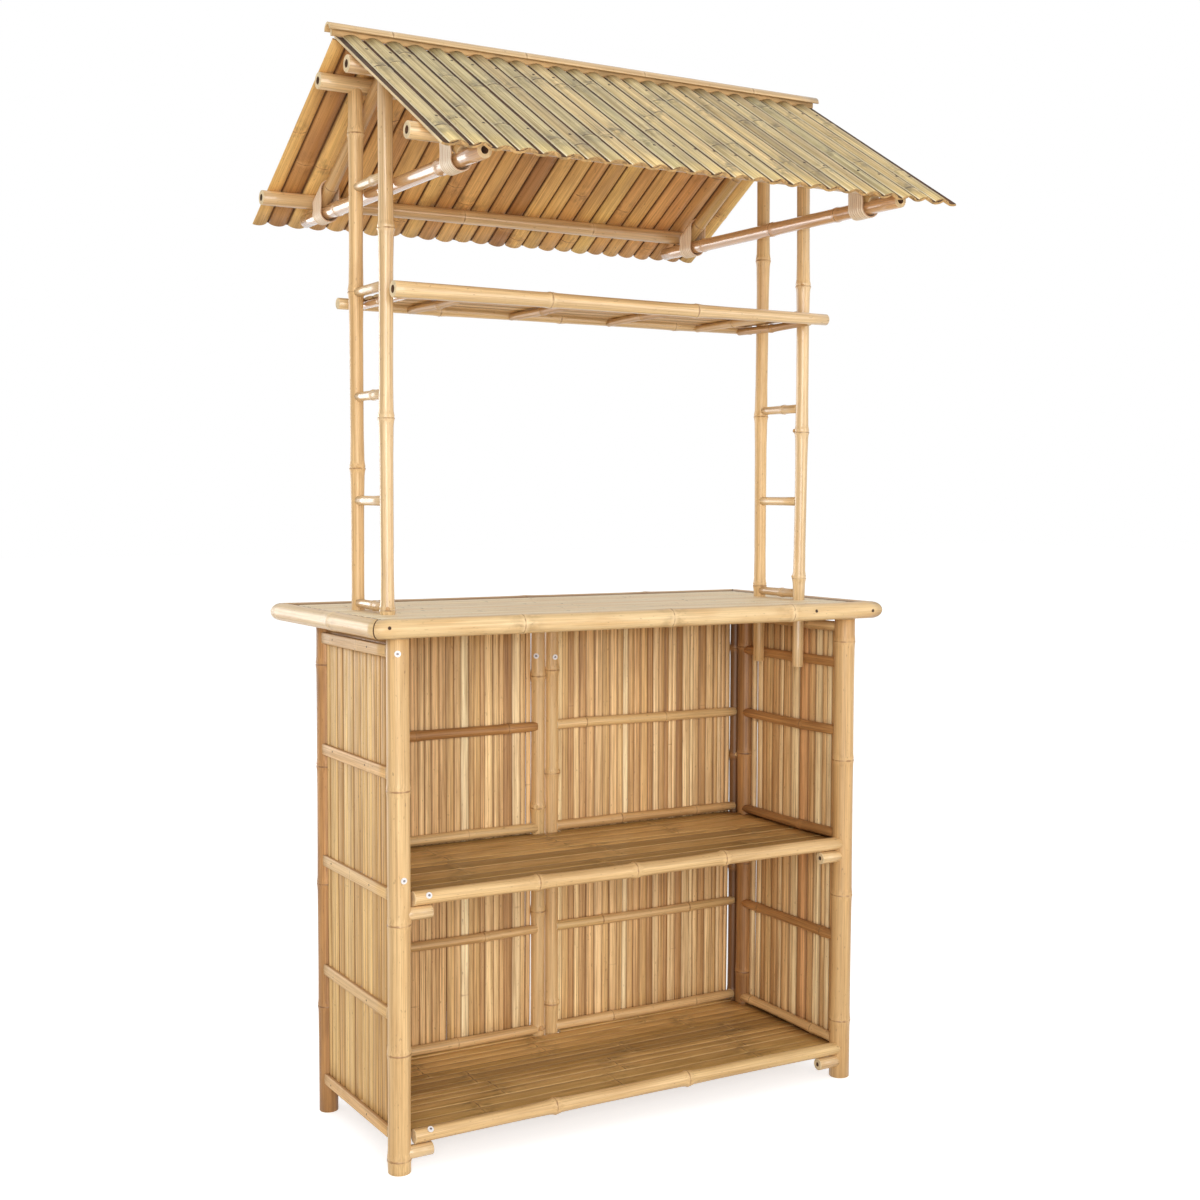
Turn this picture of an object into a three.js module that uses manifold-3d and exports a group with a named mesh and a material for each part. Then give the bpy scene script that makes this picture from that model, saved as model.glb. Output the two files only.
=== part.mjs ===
// A bamboo bar hut: a shelved cabinet under a counter, two ladder frames that carry a hanging
// shelf, and a gabled roof of split culms on lashed trusses.
// Millimetres. X runs along the bar, -Y is the keeper's open side and +Z is up. The origin is on
// the floor under the middle of the ridge.

import * as THREE from "three";
import { mergeVertices } from "three/addons/utils/BufferGeometryUtils.js";
import Module from "manifold-3d";

const wasm = await Module();
wasm.setup();

// Fits
const seat = 0.3; // gap between pieces that touch
const overrun = 8; // how far a cut runs past the face that it opens

// Culms
const thickSides = 12;
const thinSides = 8;
const ringRise = 1.4; // how far the ring at a node stands out
const ringHalf = 5; // half the length of that ring
const boreDepth = 16;
const boreShare = 0.62; // bore radius as a share of the culm's radius

// Cabinet frame
const panelSpan = 1050; // between the middle planes of the two side panels
const frontPostSetback = 198; // from the ridge plane, towards the keeper
const frontPostRadius = 22.5;
const rearPostSetback = 168; // from the ridge plane, towards the guests
const rearPostRadius = 20;
const endPostRadius = 12.5; // outer post of each back panel
const endPostInset = 10; // in from the side panel's middle plane
const middlePostRadius = 16; // the two posts that meet in the middle of the back

// Counter
const counterHeight = 1050;
const counterSideOverhang = 68; // past the side panels' middle planes
const counterFrontOverhang = 46; // past the middles of the front posts
const counterBackOverhang = 114; // past the middle plane of the back panels
const edgeRadius = 19;
const counterSlatDrop = 4; // top of the slats below the top of the edge poles
const counterSlatThickness = 9;
const counterSlatGap = 2.5; // dark line between the slats and the edge poles
const counterStrips = 11;
const crossBattenWidth = 30;
const ladderHoleClearance = 1.5;

// Panel infill
const slatThickness = 8;
const slatGap = 1.5; // between the outermost slat and its post
const slatWidth = 39;
const grooveWidth = 3;
const grooveDepth = 2.5;
const railRadius = 11.5;
const railSetback = 6.2; // middle of a rail inside the slats' inner face
const railLift = 10; // middle of a rail above the batten of its course
const railReachShare = 0.5; // how far a rail's end laps its post, of the post's radius
const battenWidth = 23;
const battenThickness = 9;
const battenSink = 2; // how far a batten beds into the slats
const battenGap = 3.5; // between a batten's end and the post that it stops at
const battenLap = 14; // how far a batten of a side panel runs on past the edge of the rear post
const courses = 5;
const lowestCourse = 73; // middle of the lowest batten above the floor
const highestCourseDrop = 26.7; // middle of the highest batten below the posts' tops
const ladderRailLift = 19; // middle of the rail that the ladders stand against, above their feet

// Shelves
const shelfPoleRadius = 15;
const shelfPoleOffset = 5; // middle of a front pole towards the keeper, from the front posts' middles
const shelfPoleDrop = 6.2; // middle of the front pole below the top of the slats
const shelfPoleGap = 4; // between its left end and the post
const shelfThickness = 8;
const shelfStrips = 10;
const shelfBattenThickness = 8;
const shelfBattenWidth = 26;
const shelfBattenInset = 91; // middle of an outer batten from the end of the slats
const shelfCourses = [0, (courses - 1) / 2]; // the courses that carry a shelf
const pegRadius = 13;
const pegReach = 64; // from the middle of the post to the peg's open end

// Ladder frames
const ladderDepth = 148; // between the middles of a ladder's two poles
const ladderFootDrop = 153; // feet below the top of the counter
const ladderButtRadius = 14;
const ladderTipRadius = 16;
const saddleShare = 0.4; // top of a pole below the purlin's middle, of the purlin's radius
const rungRadius = 10.5;
const rungCount = 5;
const lowestRungLift = 10; // middle of the lowest rung above the top of the counter
const highestRungDrop = 191; // middle of the highest rung below the poles' tops

// Hanging shelf
const hangingOverhang = 15; // ends of its long poles past the middles of the ladders
const hangingFrontReach = 68; // middle of its front pole from the middles of the ladders' front poles
const hangingBackReach = 62; // and the same at the back
const hangingDrop = 482; // middle of its two long poles below the underside of the ridge
const hangingFrontButtRadius = 16.5;
const hangingFrontTipRadius = 12.5;
const hangingBackButtRadius = 12;
const hangingBackTipRadius = 10.5;
const crossRadius = 8.5;
const crossSink = 0.5; // how far the inner crosspieces bed into the slats above them
const crossDrop = 5; // middle of the crosspieces below the middle of the long poles
const innerCrossSpread = 120; // from the middle of the bar to the nearer crosspieces
const outerCrossSpread = 353; // and to the farther ones
const rackThickness = 6;
const rackStrips = 5;
const rackEndClearance = 4;

// Roof
const roofAngle = THREE.MathUtils.degToRad(30.7);
const ridgeHeight = 2140; // where the undersides of the two slopes meet
const eaveOverhang = 103; // from the middle of a lower purlin to the eave
const roofOverhang = 73.5; // verges past the middles of the ladders
const tileSpacing = 43.8; // about how far apart the tiles lie that have the hollow side up
const tileWall = 4.5;
const panWidth = 41;
const panRise = 8;
const panFlankShare = 0.58;
const vergeReach = 12; // outer edges of the outermost pans from their middles
const capWidth = 42;
const capRise = 12;
const capSteps = 4;
const hollowShare = 0.42; // where the hollow under a cap ends, of half the tile pitch from its middle
const hollowFootShare = 0.75; // and how high that end lies, of the pan's rise
const ridgeCapRadius = 15;
const ridgeCapWall = 4.5;
const ridgeCapOverhang = 12.5; // past the verges
const upperPurlinRadius = 17;
const upperPurlinOverhang = 77; // past the middles of the ladders
const lowerPurlinRadius = 16;
const lowerPurlinReach = 377; // from the ridge plane
const lowerPurlinLeftOverhang = 120; // past the middle of the left truss
const lowerPurlinRightOverhang = 20; // past the middle of the right truss

// Trusses
const tieRadius = 15;
const tieOverhang = 57; // past the middles of the lower purlins
const rafterRadius = 14;
const rafterFootInset = 25; // foot in from the middle of the lower purlin

// Lashings
const strandRadius = 2.4;
const strandPitch = 5.9;
const strandSides = 6;
const strandClearance = 1.5;
const lashingLoops = 5;
const lashingInset = 35; // middle of a lashing in from the foot of the rafter
const loopSteps = 12;

// Heights and places that follow from the sizes above
const postHeight = counterHeight - 2 * edgeRadius - seat;
const panelX = panelSpan / 2;
const counterLength = panelSpan + 2 * counterSideOverhang;
const counterFront = frontPostSetback + counterFrontOverhang;
const shelfPoleSetback = frontPostSetback + shelfPoleOffset;
const endPostX = panelX - endPostInset;
const postReach = rearPostRadius + endPostRadius + seat;
const backPanelSetback =
  rearPostSetback + Math.sqrt(postReach ** 2 - endPostInset ** 2);
const counterBack = backPanelSetback + counterBackOverhang;
const middlePostX = middlePostRadius + ringRise + seat / 2;
const courseSpacing = (postHeight - highestCourseDrop - lowestCourse) / (courses - 1);
const battenHeights = Array.from(
  { length: courses },
  (_, course) => lowestCourse + course * courseSpacing,
);
const railHeights = battenHeights.map((height) => height + railLift);
const slatFoot = lowestCourse - battenWidth / 2;
const slatTop = battenHeights[courses - 1] + battenWidth / 2;
const ladderHalf = ladderDepth / 2;
const slopeRise = Math.tan(roofAngle);
const slopeCos = Math.cos(roofAngle);
const slopeSin = Math.sin(roofAngle);
const purlinHeight = (reach, radius) =>
  ridgeHeight - reach * slopeRise - (radius + seat) / slopeCos;
const upperPurlinHeight = purlinHeight(ladderHalf, upperPurlinRadius);
const lowerPurlinHeight = purlinHeight(lowerPurlinReach, lowerPurlinRadius);
const ladderFoot = counterHeight - ladderFootDrop;
const ladderTop = upperPurlinHeight - saddleShare * upperPurlinRadius;
const ladderLength = ladderTop - ladderFoot;
const ladderRailHeight = ladderFoot + ladderRailLift;
const lowestRung = counterHeight + lowestRungLift;
const rungSpacing = (ladderTop - highestRungDrop - lowestRung) / (rungCount - 1);
const ladderRadiusAt = (height) =>
  THREE.MathUtils.mapLinear(height, ladderFoot, ladderTop, ladderButtRadius, ladderTipRadius);
const ladderX =
  panelX - railSetback - railRadius - seat - ladderRadiusAt(railHeights[courses - 1]);
const tieHeight = lowerPurlinHeight - lowerPurlinRadius - seat - tieRadius;
const tieX = ladderX - ladderRadiusAt(tieHeight) - seat - tieRadius;
const tieLength = 2 * (lowerPurlinReach + tieOverhang);
const rafterReach = lowerPurlinReach - rafterFootInset;
const lashingMiddle = rafterReach - lashingInset;
const eaveReach = lowerPurlinReach + eaveOverhang;
const roofLength = 2 * (ladderX + roofOverhang);
const tileCount = 1 + Math.round((roofLength - 2 * vergeReach) / tileSpacing);
const tilePitch = (roofLength - 2 * vergeReach) / (tileCount - 1);
const ridgeCapLength = roofLength + 2 * ridgeCapOverhang;
const upperPurlinLength = 2 * (ladderX + upperPurlinOverhang);
const lowerPurlinLeft = tieX + lowerPurlinLeftOverhang;
const lowerPurlinRight = tieX + lowerPurlinRightOverhang;
const hangingLength = 2 * (ladderX + hangingOverhang);
const hangingHeight = ridgeHeight - hangingDrop;
const hangingFrontSetback = ladderHalf + hangingFrontReach;
const hangingBackSetback = ladderHalf + hangingBackReach;
const rafterDepth = 2 * lowerPurlinRadius + 2 * seat + rafterRadius;
const rafterHeightAt = (reach) =>
  ridgeHeight - rafterDepth / slopeCos - reach * slopeRise;

// Nodes along each kind of culm, from its butt
const postRingShares = [0.225, 0.4, 0.71];
const thinPostRingShares = [0.3, 0.64];
const ladderRingShares = [0.25, 0.58, 0.905];
const longEdgeRingShares = [0.26, 0.55, 0.8];
const shortEdgeRingShares = [0.36, 0.72];
const lowShelfPoleRingShares = [0.3, 0.61];
const highShelfPoleRingShares = [0.26, 0.48, 0.695];
const hangingRingShares = [0.33, 0.67];
const purlinRingShares = [0.2, 0.48, 0.77];
const tieRingShares = [0.27, 0.53, 0.76];
const rafterRingShares = [0.42];

// Solids

function solidOf(geometry) {
  const bare = geometry.index ? geometry.toNonIndexed() : geometry.clone();
  bare.deleteAttribute("normal");
  bare.deleteAttribute("uv");
  const merged = mergeVertices(bare);
  const vertProperties = merged.attributes.position.array;
  const triVerts = new Uint32Array(merged.index.array);
  return new wasm.Manifold(new wasm.Mesh({ numProp: 3, vertProperties, triVerts }));
}

function geometryOf(solid) {
  const { vertProperties, triVerts } = solid.getMesh();
  const geometry = new THREE.BufferGeometry();
  geometry.setAttribute("position", new THREE.BufferAttribute(vertProperties, 3));
  geometry.setIndex(new THREE.BufferAttribute(triVerts, 1));
  const faceted = geometry.toNonIndexed();
  faceted.computeVertexNormals();
  return faceted;
}

const joined = (solids) => solids.reduce((sum, solid) => sum.add(solid));
const cut = (solid, tools) => tools.reduce((rest, tool) => rest.subtract(tool), solid);

// Turns a form that stands on Z so that it lies along X or Y.
const alongX = (geometry) => geometry.rotateY(Math.PI / 2);
const alongY = (geometry) => geometry.rotateX(-Math.PI / 2);

// A culm that stands on Z = 0: tapered, with a raised ring at each node and a bore at an end that shows.
function culm({ length, butt, tip = butt, rings = [], buttBore, tipBore, sides = thickSides }) {
  const radiusAt = (z) => THREE.MathUtils.mapLinear(z, 0, length, butt, tip);
  const outline = [new THREE.Vector2(0, buttBore ? boreDepth : 0)];
  if (buttBore) {
    outline.push(new THREE.Vector2(butt * boreShare, boreDepth));
    outline.push(new THREE.Vector2(butt * boreShare, 0));
  }
  outline.push(new THREE.Vector2(butt, 0));
  for (const share of rings) {
    const z = share * length;
    outline.push(new THREE.Vector2(radiusAt(z - ringHalf), z - ringHalf));
    outline.push(new THREE.Vector2(radiusAt(z) + ringRise, z));
    outline.push(new THREE.Vector2(radiusAt(z + ringHalf), z + ringHalf));
  }
  outline.push(new THREE.Vector2(tip, length));
  if (tipBore) {
    outline.push(new THREE.Vector2(tip * boreShare, length));
    outline.push(new THREE.Vector2(tip * boreShare, length - boreDepth));
  }
  outline.push(new THREE.Vector2(0, tipBore ? length - boreDepth : length));
  return new THREE.LatheGeometry(outline, sides, Math.PI / 2).rotateX(Math.PI / 2);
}

// A culm grown by the seat, which cuts the cope in a piece that meets it.
function cope(sizes) {
  const tip = (sizes.tip ?? sizes.butt) + seat;
  return culm({ ...sizes, butt: sizes.butt + seat, tip, buttBore: false, tipBore: false });
}

const boxBetween = (low, high) =>
  new THREE.BoxGeometry(high.x - low.x, high.y - low.y, high.z - low.z).translate(
    (low.x + high.x) / 2,
    (low.y + high.y) / 2,
    (low.z + high.z) / 2,
  );

const extruded = (shape, depth, curveSegments) =>
  new THREE.ExtrudeGeometry(shape, { depth, curveSegments, bevelEnabled: false });

// Lays an extrusion along X, with the X and Y of its section along Y and Z.
const sectionAlongX = new THREE.Matrix4().makeBasis(
  new THREE.Vector3(0, 1, 0),
  new THREE.Vector3(0, 0, 1),
  new THREE.Vector3(1, 0, 0),
);

// Section of strips laid side by side: flat below, with a groove between each two above.
function stripSection(width, thickness, strips) {
  const section = new THREE.Shape();
  section.moveTo(0, 0);
  section.lineTo(width, 0);
  section.lineTo(width, thickness);
  for (let strip = strips - 1; strip > 0; strip -= 1) {
    const seam = (strip * width) / strips;
    section.lineTo(seam + grooveWidth / 2, thickness);
    section.lineTo(seam, thickness - grooveDepth);
    section.lineTo(seam - grooveWidth / 2, thickness);
  }
  section.lineTo(0, thickness);
  section.closePath();
  return section;
}

// A board of such strips that lie along X, between two depths, with its underside at a height.
function stripBoard({ length, front, back, underside, thickness, strips }) {
  const board = extruded(stripSection(back - front, thickness, strips), length);
  return board.applyMatrix4(sectionAlongX).translate(-length / 2, front, underside);
}

// The hut

const hut = new THREE.Group();

const finishes = {
  straw: { color: 0xdcb57a, roughness: 0.5 },
  pale: { color: 0xe0c79a, roughness: 0.5 },
  slat: { color: 0xc9a066, roughness: 0.6 },
  shelf: { color: 0xa9834a, roughness: 0.6 },
  tile: { color: 0xb5aa82, roughness: 0.6 },
  cane: { color: 0xe0bd98, roughness: 0.7 },
};

function place(parent, name, geometry, finish, x = 0, y = 0, z = 0) {
  const material = new THREE.MeshStandardMaterial({ ...finishes[finish], metalness: 0 });
  const mesh = new THREE.Mesh(geometry, material);
  mesh.name = name;
  mesh.position.set(x, y, z);
  parent.add(mesh);
  return mesh;
}

const bothSides = [
  { side: "left", sign: -1 },
  { side: "right", sign: 1 },
];
const bothSlopes = [
  { slope: "front", sign: -1 },
  { slope: "back", sign: 1 },
];

// Posts, with the pegs that carry the shelves

const shelfTopAt = (course) => railHeights[course] - railRadius - seat;
const shelfPoleHeightAt = (course) => shelfTopAt(course) - shelfPoleDrop;

function peggedPost({ radius, pegHeights, pegOffset, towards }) {
  const post = solidOf(culm({ length: postHeight, butt: radius, rings: postRingShares }));
  const pegs = pegHeights.map((height) => {
    const peg = culm({ length: pegReach, butt: pegRadius, tipBore: true, sides: thinSides });
    alongX(peg);
    if (towards < 0) peg.rotateZ(Math.PI);
    return solidOf(peg.translate(0, pegOffset, height));
  });
  return geometryOf(joined([post, ...pegs]));
}

const frontPegHeights = shelfCourses.map(
  (course) => shelfPoleHeightAt(course) - shelfPoleRadius - seat - pegRadius,
);
const rearPegHeights = shelfCourses.map(
  (course) => shelfTopAt(course) - shelfThickness - seat - pegRadius,
);

for (const { side, sign } of bothSides) {
  const front = peggedPost({
    radius: frontPostRadius,
    pegHeights: frontPegHeights,
    pegOffset: frontPostSetback - shelfPoleSetback,
    towards: -sign,
  });
  place(hut, `post_front_${side}`, front, "straw", sign * panelX, -frontPostSetback);
  const rear = peggedPost({
    radius: rearPostRadius,
    pegHeights: rearPegHeights,
    pegOffset: 0,
    towards: -sign,
  });
  place(hut, `post_rear_${side}`, rear, "straw", sign * panelX, rearPostSetback);
  const end = culm({ length: postHeight, butt: endPostRadius, rings: thinPostRingShares, sides: thinSides });
  place(hut, `post_back_end_${side}`, end, "straw", sign * endPostX, backPanelSetback);
  const middle = culm({ length: postHeight, butt: middlePostRadius, rings: thinPostRingShares });
  place(hut, `post_back_middle_${side}`, middle, "straw", sign * middlePostX, backPanelSetback);
}

// Infill of a panel, drawn with X along it and +Y out of the cabinet: upright slats, rails inside that
// are coped to the posts, and flat battens outside, which are coped to the rear posts

function infill(first, last, extraRails = []) {
  const start = first.at + first.radius + slatGap;
  const end = last.at - last.radius - slatGap;
  const strips = Math.round((end - start) / slatWidth);
  const section = stripSection(end - start, slatThickness, strips);
  const slats = solidOf(extruded(section, slatTop - slatFoot).translate(start, 0, slatFoot));
  const railStart = first.at + first.radius * railReachShare;
  const railEnd = last.at - last.radius * railReachShare;
  const rails = [...railHeights, ...extraRails].map((height) => {
    const rail = culm({ length: railEnd - railStart, butt: railRadius, sides: thinSides });
    return solidOf(alongX(rail).translate(railStart, -railSetback, height));
  });
  const battens = battenHeights.map((height) => {
    const low = new THREE.Vector3(
      first.at + first.radius + first.battenGap,
      slatThickness - battenSink - grooveDepth,
      height - battenWidth / 2,
    );
    const high = new THREE.Vector3(
      last.at - last.radius - last.battenGap,
      slatThickness - battenSink + battenThickness,
      height + battenWidth / 2,
    );
    return solidOf(boxBetween(low, high));
  });
  const posts = [first, last].map(({ at, radius, rings, sides }) => {
    const post = cope({ length: postHeight, butt: radius, rings, sides });
    return solidOf(post.translate(at, 0, 0));
  });
  return geometryOf(cut(joined([slats, ...rails, ...battens]), posts));
}

for (const { side, sign } of bothSides) {
  const thick = { rings: postRingShares, sides: thickSides };
  const front = { at: sign * frontPostSetback, radius: frontPostRadius, battenGap, ...thick };
  const rear = { at: -sign * rearPostSetback, radius: rearPostRadius, battenGap: -battenLap, ...thick };
  const panel = infill(...(sign < 0 ? [front, rear] : [rear, front]), [ladderRailHeight]);
  place(hut, `infill_${side}`, panel, "slat", sign * panelX).rotation.z = (-sign * Math.PI) / 2;
  const thin = { rings: thinPostRingShares, battenGap };
  const end = { at: sign * endPostX, radius: endPostRadius, sides: thinSides, ...thin };
  const middle = { at: sign * middlePostX, radius: middlePostRadius, sides: thickSides, ...thin };
  const back = infill(...(sign < 0 ? [end, middle] : [middle, end]));
  place(hut, `infill_back_${side}`, back, "slat", 0, backPanelSetback);
}

// Counter: four mitred edge poles round a field of slats, which lies on cross battens on the posts

const edgeHeight = counterHeight - edgeRadius;
const edgeSideX = counterLength / 2 - edgeRadius;
const edgeFrontY = edgeRadius - counterFront;
const edgeBackY = counterBack - edgeRadius;

// A pole along X whose outer side faces -Y, cut at 45 degrees towards the inner side at both ends.
function mitredPole(length, rings) {
  const pole = alongX(culm({ length, butt: edgeRadius, rings })).translate(-length / 2, 0, 0);
  const reach = edgeRadius + overrun;
  const endAt = (y) => length / 2 - edgeRadius - y - seat / Math.SQRT2;
  const plan = new THREE.Shape();
  plan.moveTo(-endAt(-reach), -reach);
  plan.lineTo(endAt(-reach), -reach);
  plan.lineTo(endAt(reach), reach);
  plan.lineTo(-endAt(reach), reach);
  plan.closePath();
  const keep = extruded(plan, 2 * reach).translate(0, 0, -reach);
  return geometryOf(solidOf(pole).intersect(solidOf(keep)));
}

const counterDepth = counterFront + counterBack;
const longEdges = [
  { name: "counter_edge_front", y: edgeFrontY, turn: 0 },
  { name: "counter_edge_back", y: edgeBackY, turn: Math.PI },
];
for (const { name, y, turn } of longEdges) {
  const edge = mitredPole(counterLength, longEdgeRingShares);
  place(hut, name, edge, "pale", 0, y, edgeHeight).rotation.z = turn;
}
for (const { side, sign } of bothSides) {
  const edge = mitredPole(counterDepth, shortEdgeRingShares);
  const middleY = (counterBack - counterFront) / 2;
  const mesh = place(hut, `counter_edge_${side}`, edge, "pale", sign * edgeSideX, middleY, edgeHeight);
  mesh.rotation.z = (sign * Math.PI) / 2;
}

function counterBoard() {
  const inset = edgeRadius + ringRise + counterSlatGap;
  const top = counterHeight - counterSlatDrop;
  const underside = top - counterSlatThickness;
  const field = stripBoard({
    length: 2 * (edgeSideX - inset),
    front: edgeFrontY + inset,
    back: edgeBackY - inset,
    underside,
    thickness: counterSlatThickness,
    strips: counterStrips,
  });
  const lap = counterSlatThickness / 2;
  const battens = [-panelX, 0, panelX].map((x) => {
    const half = x ? crossBattenWidth / 2 : crossBattenWidth;
    const low = new THREE.Vector3(x - half, edgeFrontY + edgeRadius + seat, postHeight + seat);
    const high = new THREE.Vector3(x + half, edgeBackY - edgeRadius - seat, underside + lap);
    return solidOf(boxBetween(low, high));
  });
  const holes = bothSides.flatMap(({ sign: across }) =>
    bothSlopes.map(({ sign: along }) => {
      const radius = ladderRadiusAt(counterHeight) + ladderHoleClearance;
      const hole = culm({ length: counterSlatThickness + 2 * overrun, butt: radius });
      return solidOf(hole.translate(across * ladderX, along * ladderHalf, underside - overrun));
    }),
  );
  return geometryOf(cut(joined([solidOf(field), ...battens]), holes));
}

place(hut, "counter_board", counterBoard(), "pale");

// Shelves: a pole in front on the pegs of the front posts, and slats on the rear pegs, which battens hold
// together and which run between the side rails and back to the panels, notched round the posts

const shelves = [
  { name: "lower", rings: lowShelfPoleRingShares },
  { name: "upper", rings: highShelfPoleRingShares },
];
const shelfHalf = panelX - railSetback - railRadius - seat;
const shelfBack = backPanelSetback - seat;

function shelfPole(height, rings) {
  const left = panelX - frontPostRadius - shelfPoleGap;
  const right = panelX - frontPostRadius * railReachShare;
  const sizes = { length: left + right, butt: shelfPoleRadius, rings };
  const layIn = (geometry) => solidOf(alongX(geometry).translate(-left, -shelfPoleSetback, height));
  const posts = bothSides.map(({ sign }) => {
    const post = cope({ length: postHeight, butt: frontPostRadius, rings: postRingShares });
    return solidOf(post.translate(sign * panelX, -frontPostSetback, 0));
  });
  return { pole: geometryOf(cut(layIn(culm(sizes)), posts)), bed: layIn(cope(sizes)) };
}

// The posts at the corners, and the notch round the middle posts
function shelfNotches() {
  const thick = { rings: postRingShares, sides: thickSides };
  const thin = { rings: thinPostRingShares, sides: thinSides };
  const posts = bothSides.flatMap(({ sign }) => [
    { x: sign * panelX, y: -frontPostSetback, sizes: { butt: frontPostRadius, ...thick } },
    { x: sign * panelX, y: rearPostSetback, sizes: { butt: rearPostRadius, ...thick } },
    { x: sign * endPostX, y: backPanelSetback, sizes: { butt: endPostRadius, ...thin } },
  ]);
  const copes = posts.map(({ x, y, sizes }) => cope({ length: postHeight, ...sizes }).translate(x, y, 0));
  const room = middlePostRadius + ringRise + seat;
  const middle = boxBetween(
    new THREE.Vector3(-middlePostX - room, backPanelSetback - room, 0),
    new THREE.Vector3(middlePostX + room, backPanelSetback + overrun, postHeight),
  );
  return [...copes, middle].map(solidOf);
}

function shelfBoard(top, bed) {
  const underside = top - shelfThickness;
  const front = shelfPoleRadius + seat - shelfPoleSetback;
  const slats = stripBoard({
    length: 2 * shelfHalf,
    front,
    back: shelfBack,
    underside,
    thickness: shelfThickness,
    strips: shelfStrips,
  });
  const battenX = shelfHalf - shelfBattenInset;
  const half = shelfBattenWidth / 2;
  const battens = [-battenX, 0, battenX].map((x) => {
    const low = new THREE.Vector3(x - half, front + overrun, underside - shelfBattenThickness);
    const high = new THREE.Vector3(x + half, shelfBack - overrun, underside + shelfThickness / 2);
    return solidOf(boxBetween(low, high));
  });
  return geometryOf(cut(joined([solidOf(slats), ...battens]), [bed, ...shelfNotches()]));
}

shelfCourses.forEach((course, index) => {
  const { name, rings } = shelves[index];
  const { pole, bed } = shelfPole(shelfPoleHeightAt(course), rings);
  place(hut, `shelf_pole_${name}`, pole, "straw");
  place(hut, `shelf_board_${name}`, shelfBoard(shelfTopAt(course), bed), "shelf");
});

// Ladder frames: two poles through the counter, saddled under the upper purlins, with coped rungs

const upperPurlinSizes = { length: upperPurlinLength, butt: upperPurlinRadius, rings: purlinRingShares };
const ladderSizes = {
  length: ladderLength,
  butt: ladderButtRadius,
  tip: ladderTipRadius,
  rings: ladderRingShares,
  sides: thinSides,
};

function ladderPole() {
  const purlin = alongX(cope(upperPurlinSizes));
  purlin.translate(-upperPurlinLength / 2, 0, upperPurlinHeight - ladderFoot);
  return geometryOf(solidOf(culm(ladderSizes)).subtract(solidOf(purlin)));
}

function rung(height) {
  const sizes = { length: ladderDepth, butt: rungRadius, sides: thinSides };
  const bar = solidOf(alongY(culm(sizes)).translate(0, -ladderHalf, 0));
  const poles = bothSlopes.map(({ sign }) =>
    solidOf(cope(ladderSizes).translate(0, sign * ladderHalf, ladderFoot - height)),
  );
  return geometryOf(cut(bar, poles));
}

for (const { side, sign } of bothSides) {
  for (const { slope, sign: along } of bothSlopes) {
    const name = `ladder_pole_${slope}_${side}`;
    place(hut, name, ladderPole(), "straw", sign * ladderX, along * ladderHalf, ladderFoot);
  }
  for (let step = 0; step < rungCount; step += 1) {
    const height = lowestRung + step * rungSpacing;
    place(hut, `rung_${side}_${step + 1}`, rung(height), "straw", sign * ladderX, 0, height);
  }
}

// Hanging shelf: two bearers on the inner faces of the ladder poles, two long poles on their ends, and a
// rack of slats on crosspieces between these

const hangingPoles = [
  {
    name: "hanging_pole_front",
    y: -hangingFrontSetback,
    sizes: { butt: hangingFrontButtRadius, tip: hangingFrontTipRadius, buttBore: true, tipBore: true },
  },
  {
    name: "hanging_pole_back",
    y: hangingBackSetback,
    sizes: { butt: hangingBackButtRadius, tip: hangingBackTipRadius },
  },
];
const layHanging = (geometry, y) => alongX(geometry).translate(-hangingLength / 2, y, hangingHeight);
const hangingSizes = (sizes) => ({ length: hangingLength, rings: hangingRingShares, ...sizes });

for (const { name, y, sizes } of hangingPoles) {
  place(hut, name, layHanging(culm(hangingSizes(sizes)), y), "straw");
}

const crossHeight = hangingHeight - crossDrop;
const rackUnderside = crossHeight + crossRadius - crossSink;

function crosspiece(x, height) {
  const length = hangingFrontSetback + hangingBackSetback;
  const bar = alongY(culm({ length, butt: crossRadius, sides: thinSides }));
  const beds = hangingPoles.map(({ y, sizes }) => solidOf(layHanging(cope(hangingSizes(sizes)), y)));
  return cut(solidOf(bar.translate(x, -hangingFrontSetback, height)), beds);
}

function hangingRack() {
  const slats = stripBoard({
    length: 2 * (ladderX - ladderRadiusAt(hangingHeight) - rackEndClearance),
    front: hangingFrontButtRadius + ringRise + seat - hangingFrontSetback,
    back: hangingBackSetback - hangingBackButtRadius - ringRise - seat,
    underside: rackUnderside,
    thickness: rackThickness,
    strips: rackStrips,
  });
  const spreads = [-outerCrossSpread, -innerCrossSpread, innerCrossSpread, outerCrossSpread];
  const crosspieces = spreads.map((x) => crosspiece(x, crossHeight));
  return geometryOf(joined([solidOf(slats), ...crosspieces]));
}

place(hut, "hanging_rack", hangingRack(), "straw");
for (const { side, sign } of bothSides) {
  const x = ladderX - ladderRadiusAt(hangingHeight) - seat - crossRadius;
  const bearer = crosspiece(sign * x, rackUnderside - seat - crossRadius);
  place(hut, `hanging_bearer_${side}`, geometryOf(bearer), "straw");
}

// Roof slopes: split culms laid hollow side up, with others laid hollow side down over each joint

const tileCrown = tileWall + capRise;
const slopeLength = eaveReach / slopeCos;

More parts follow.
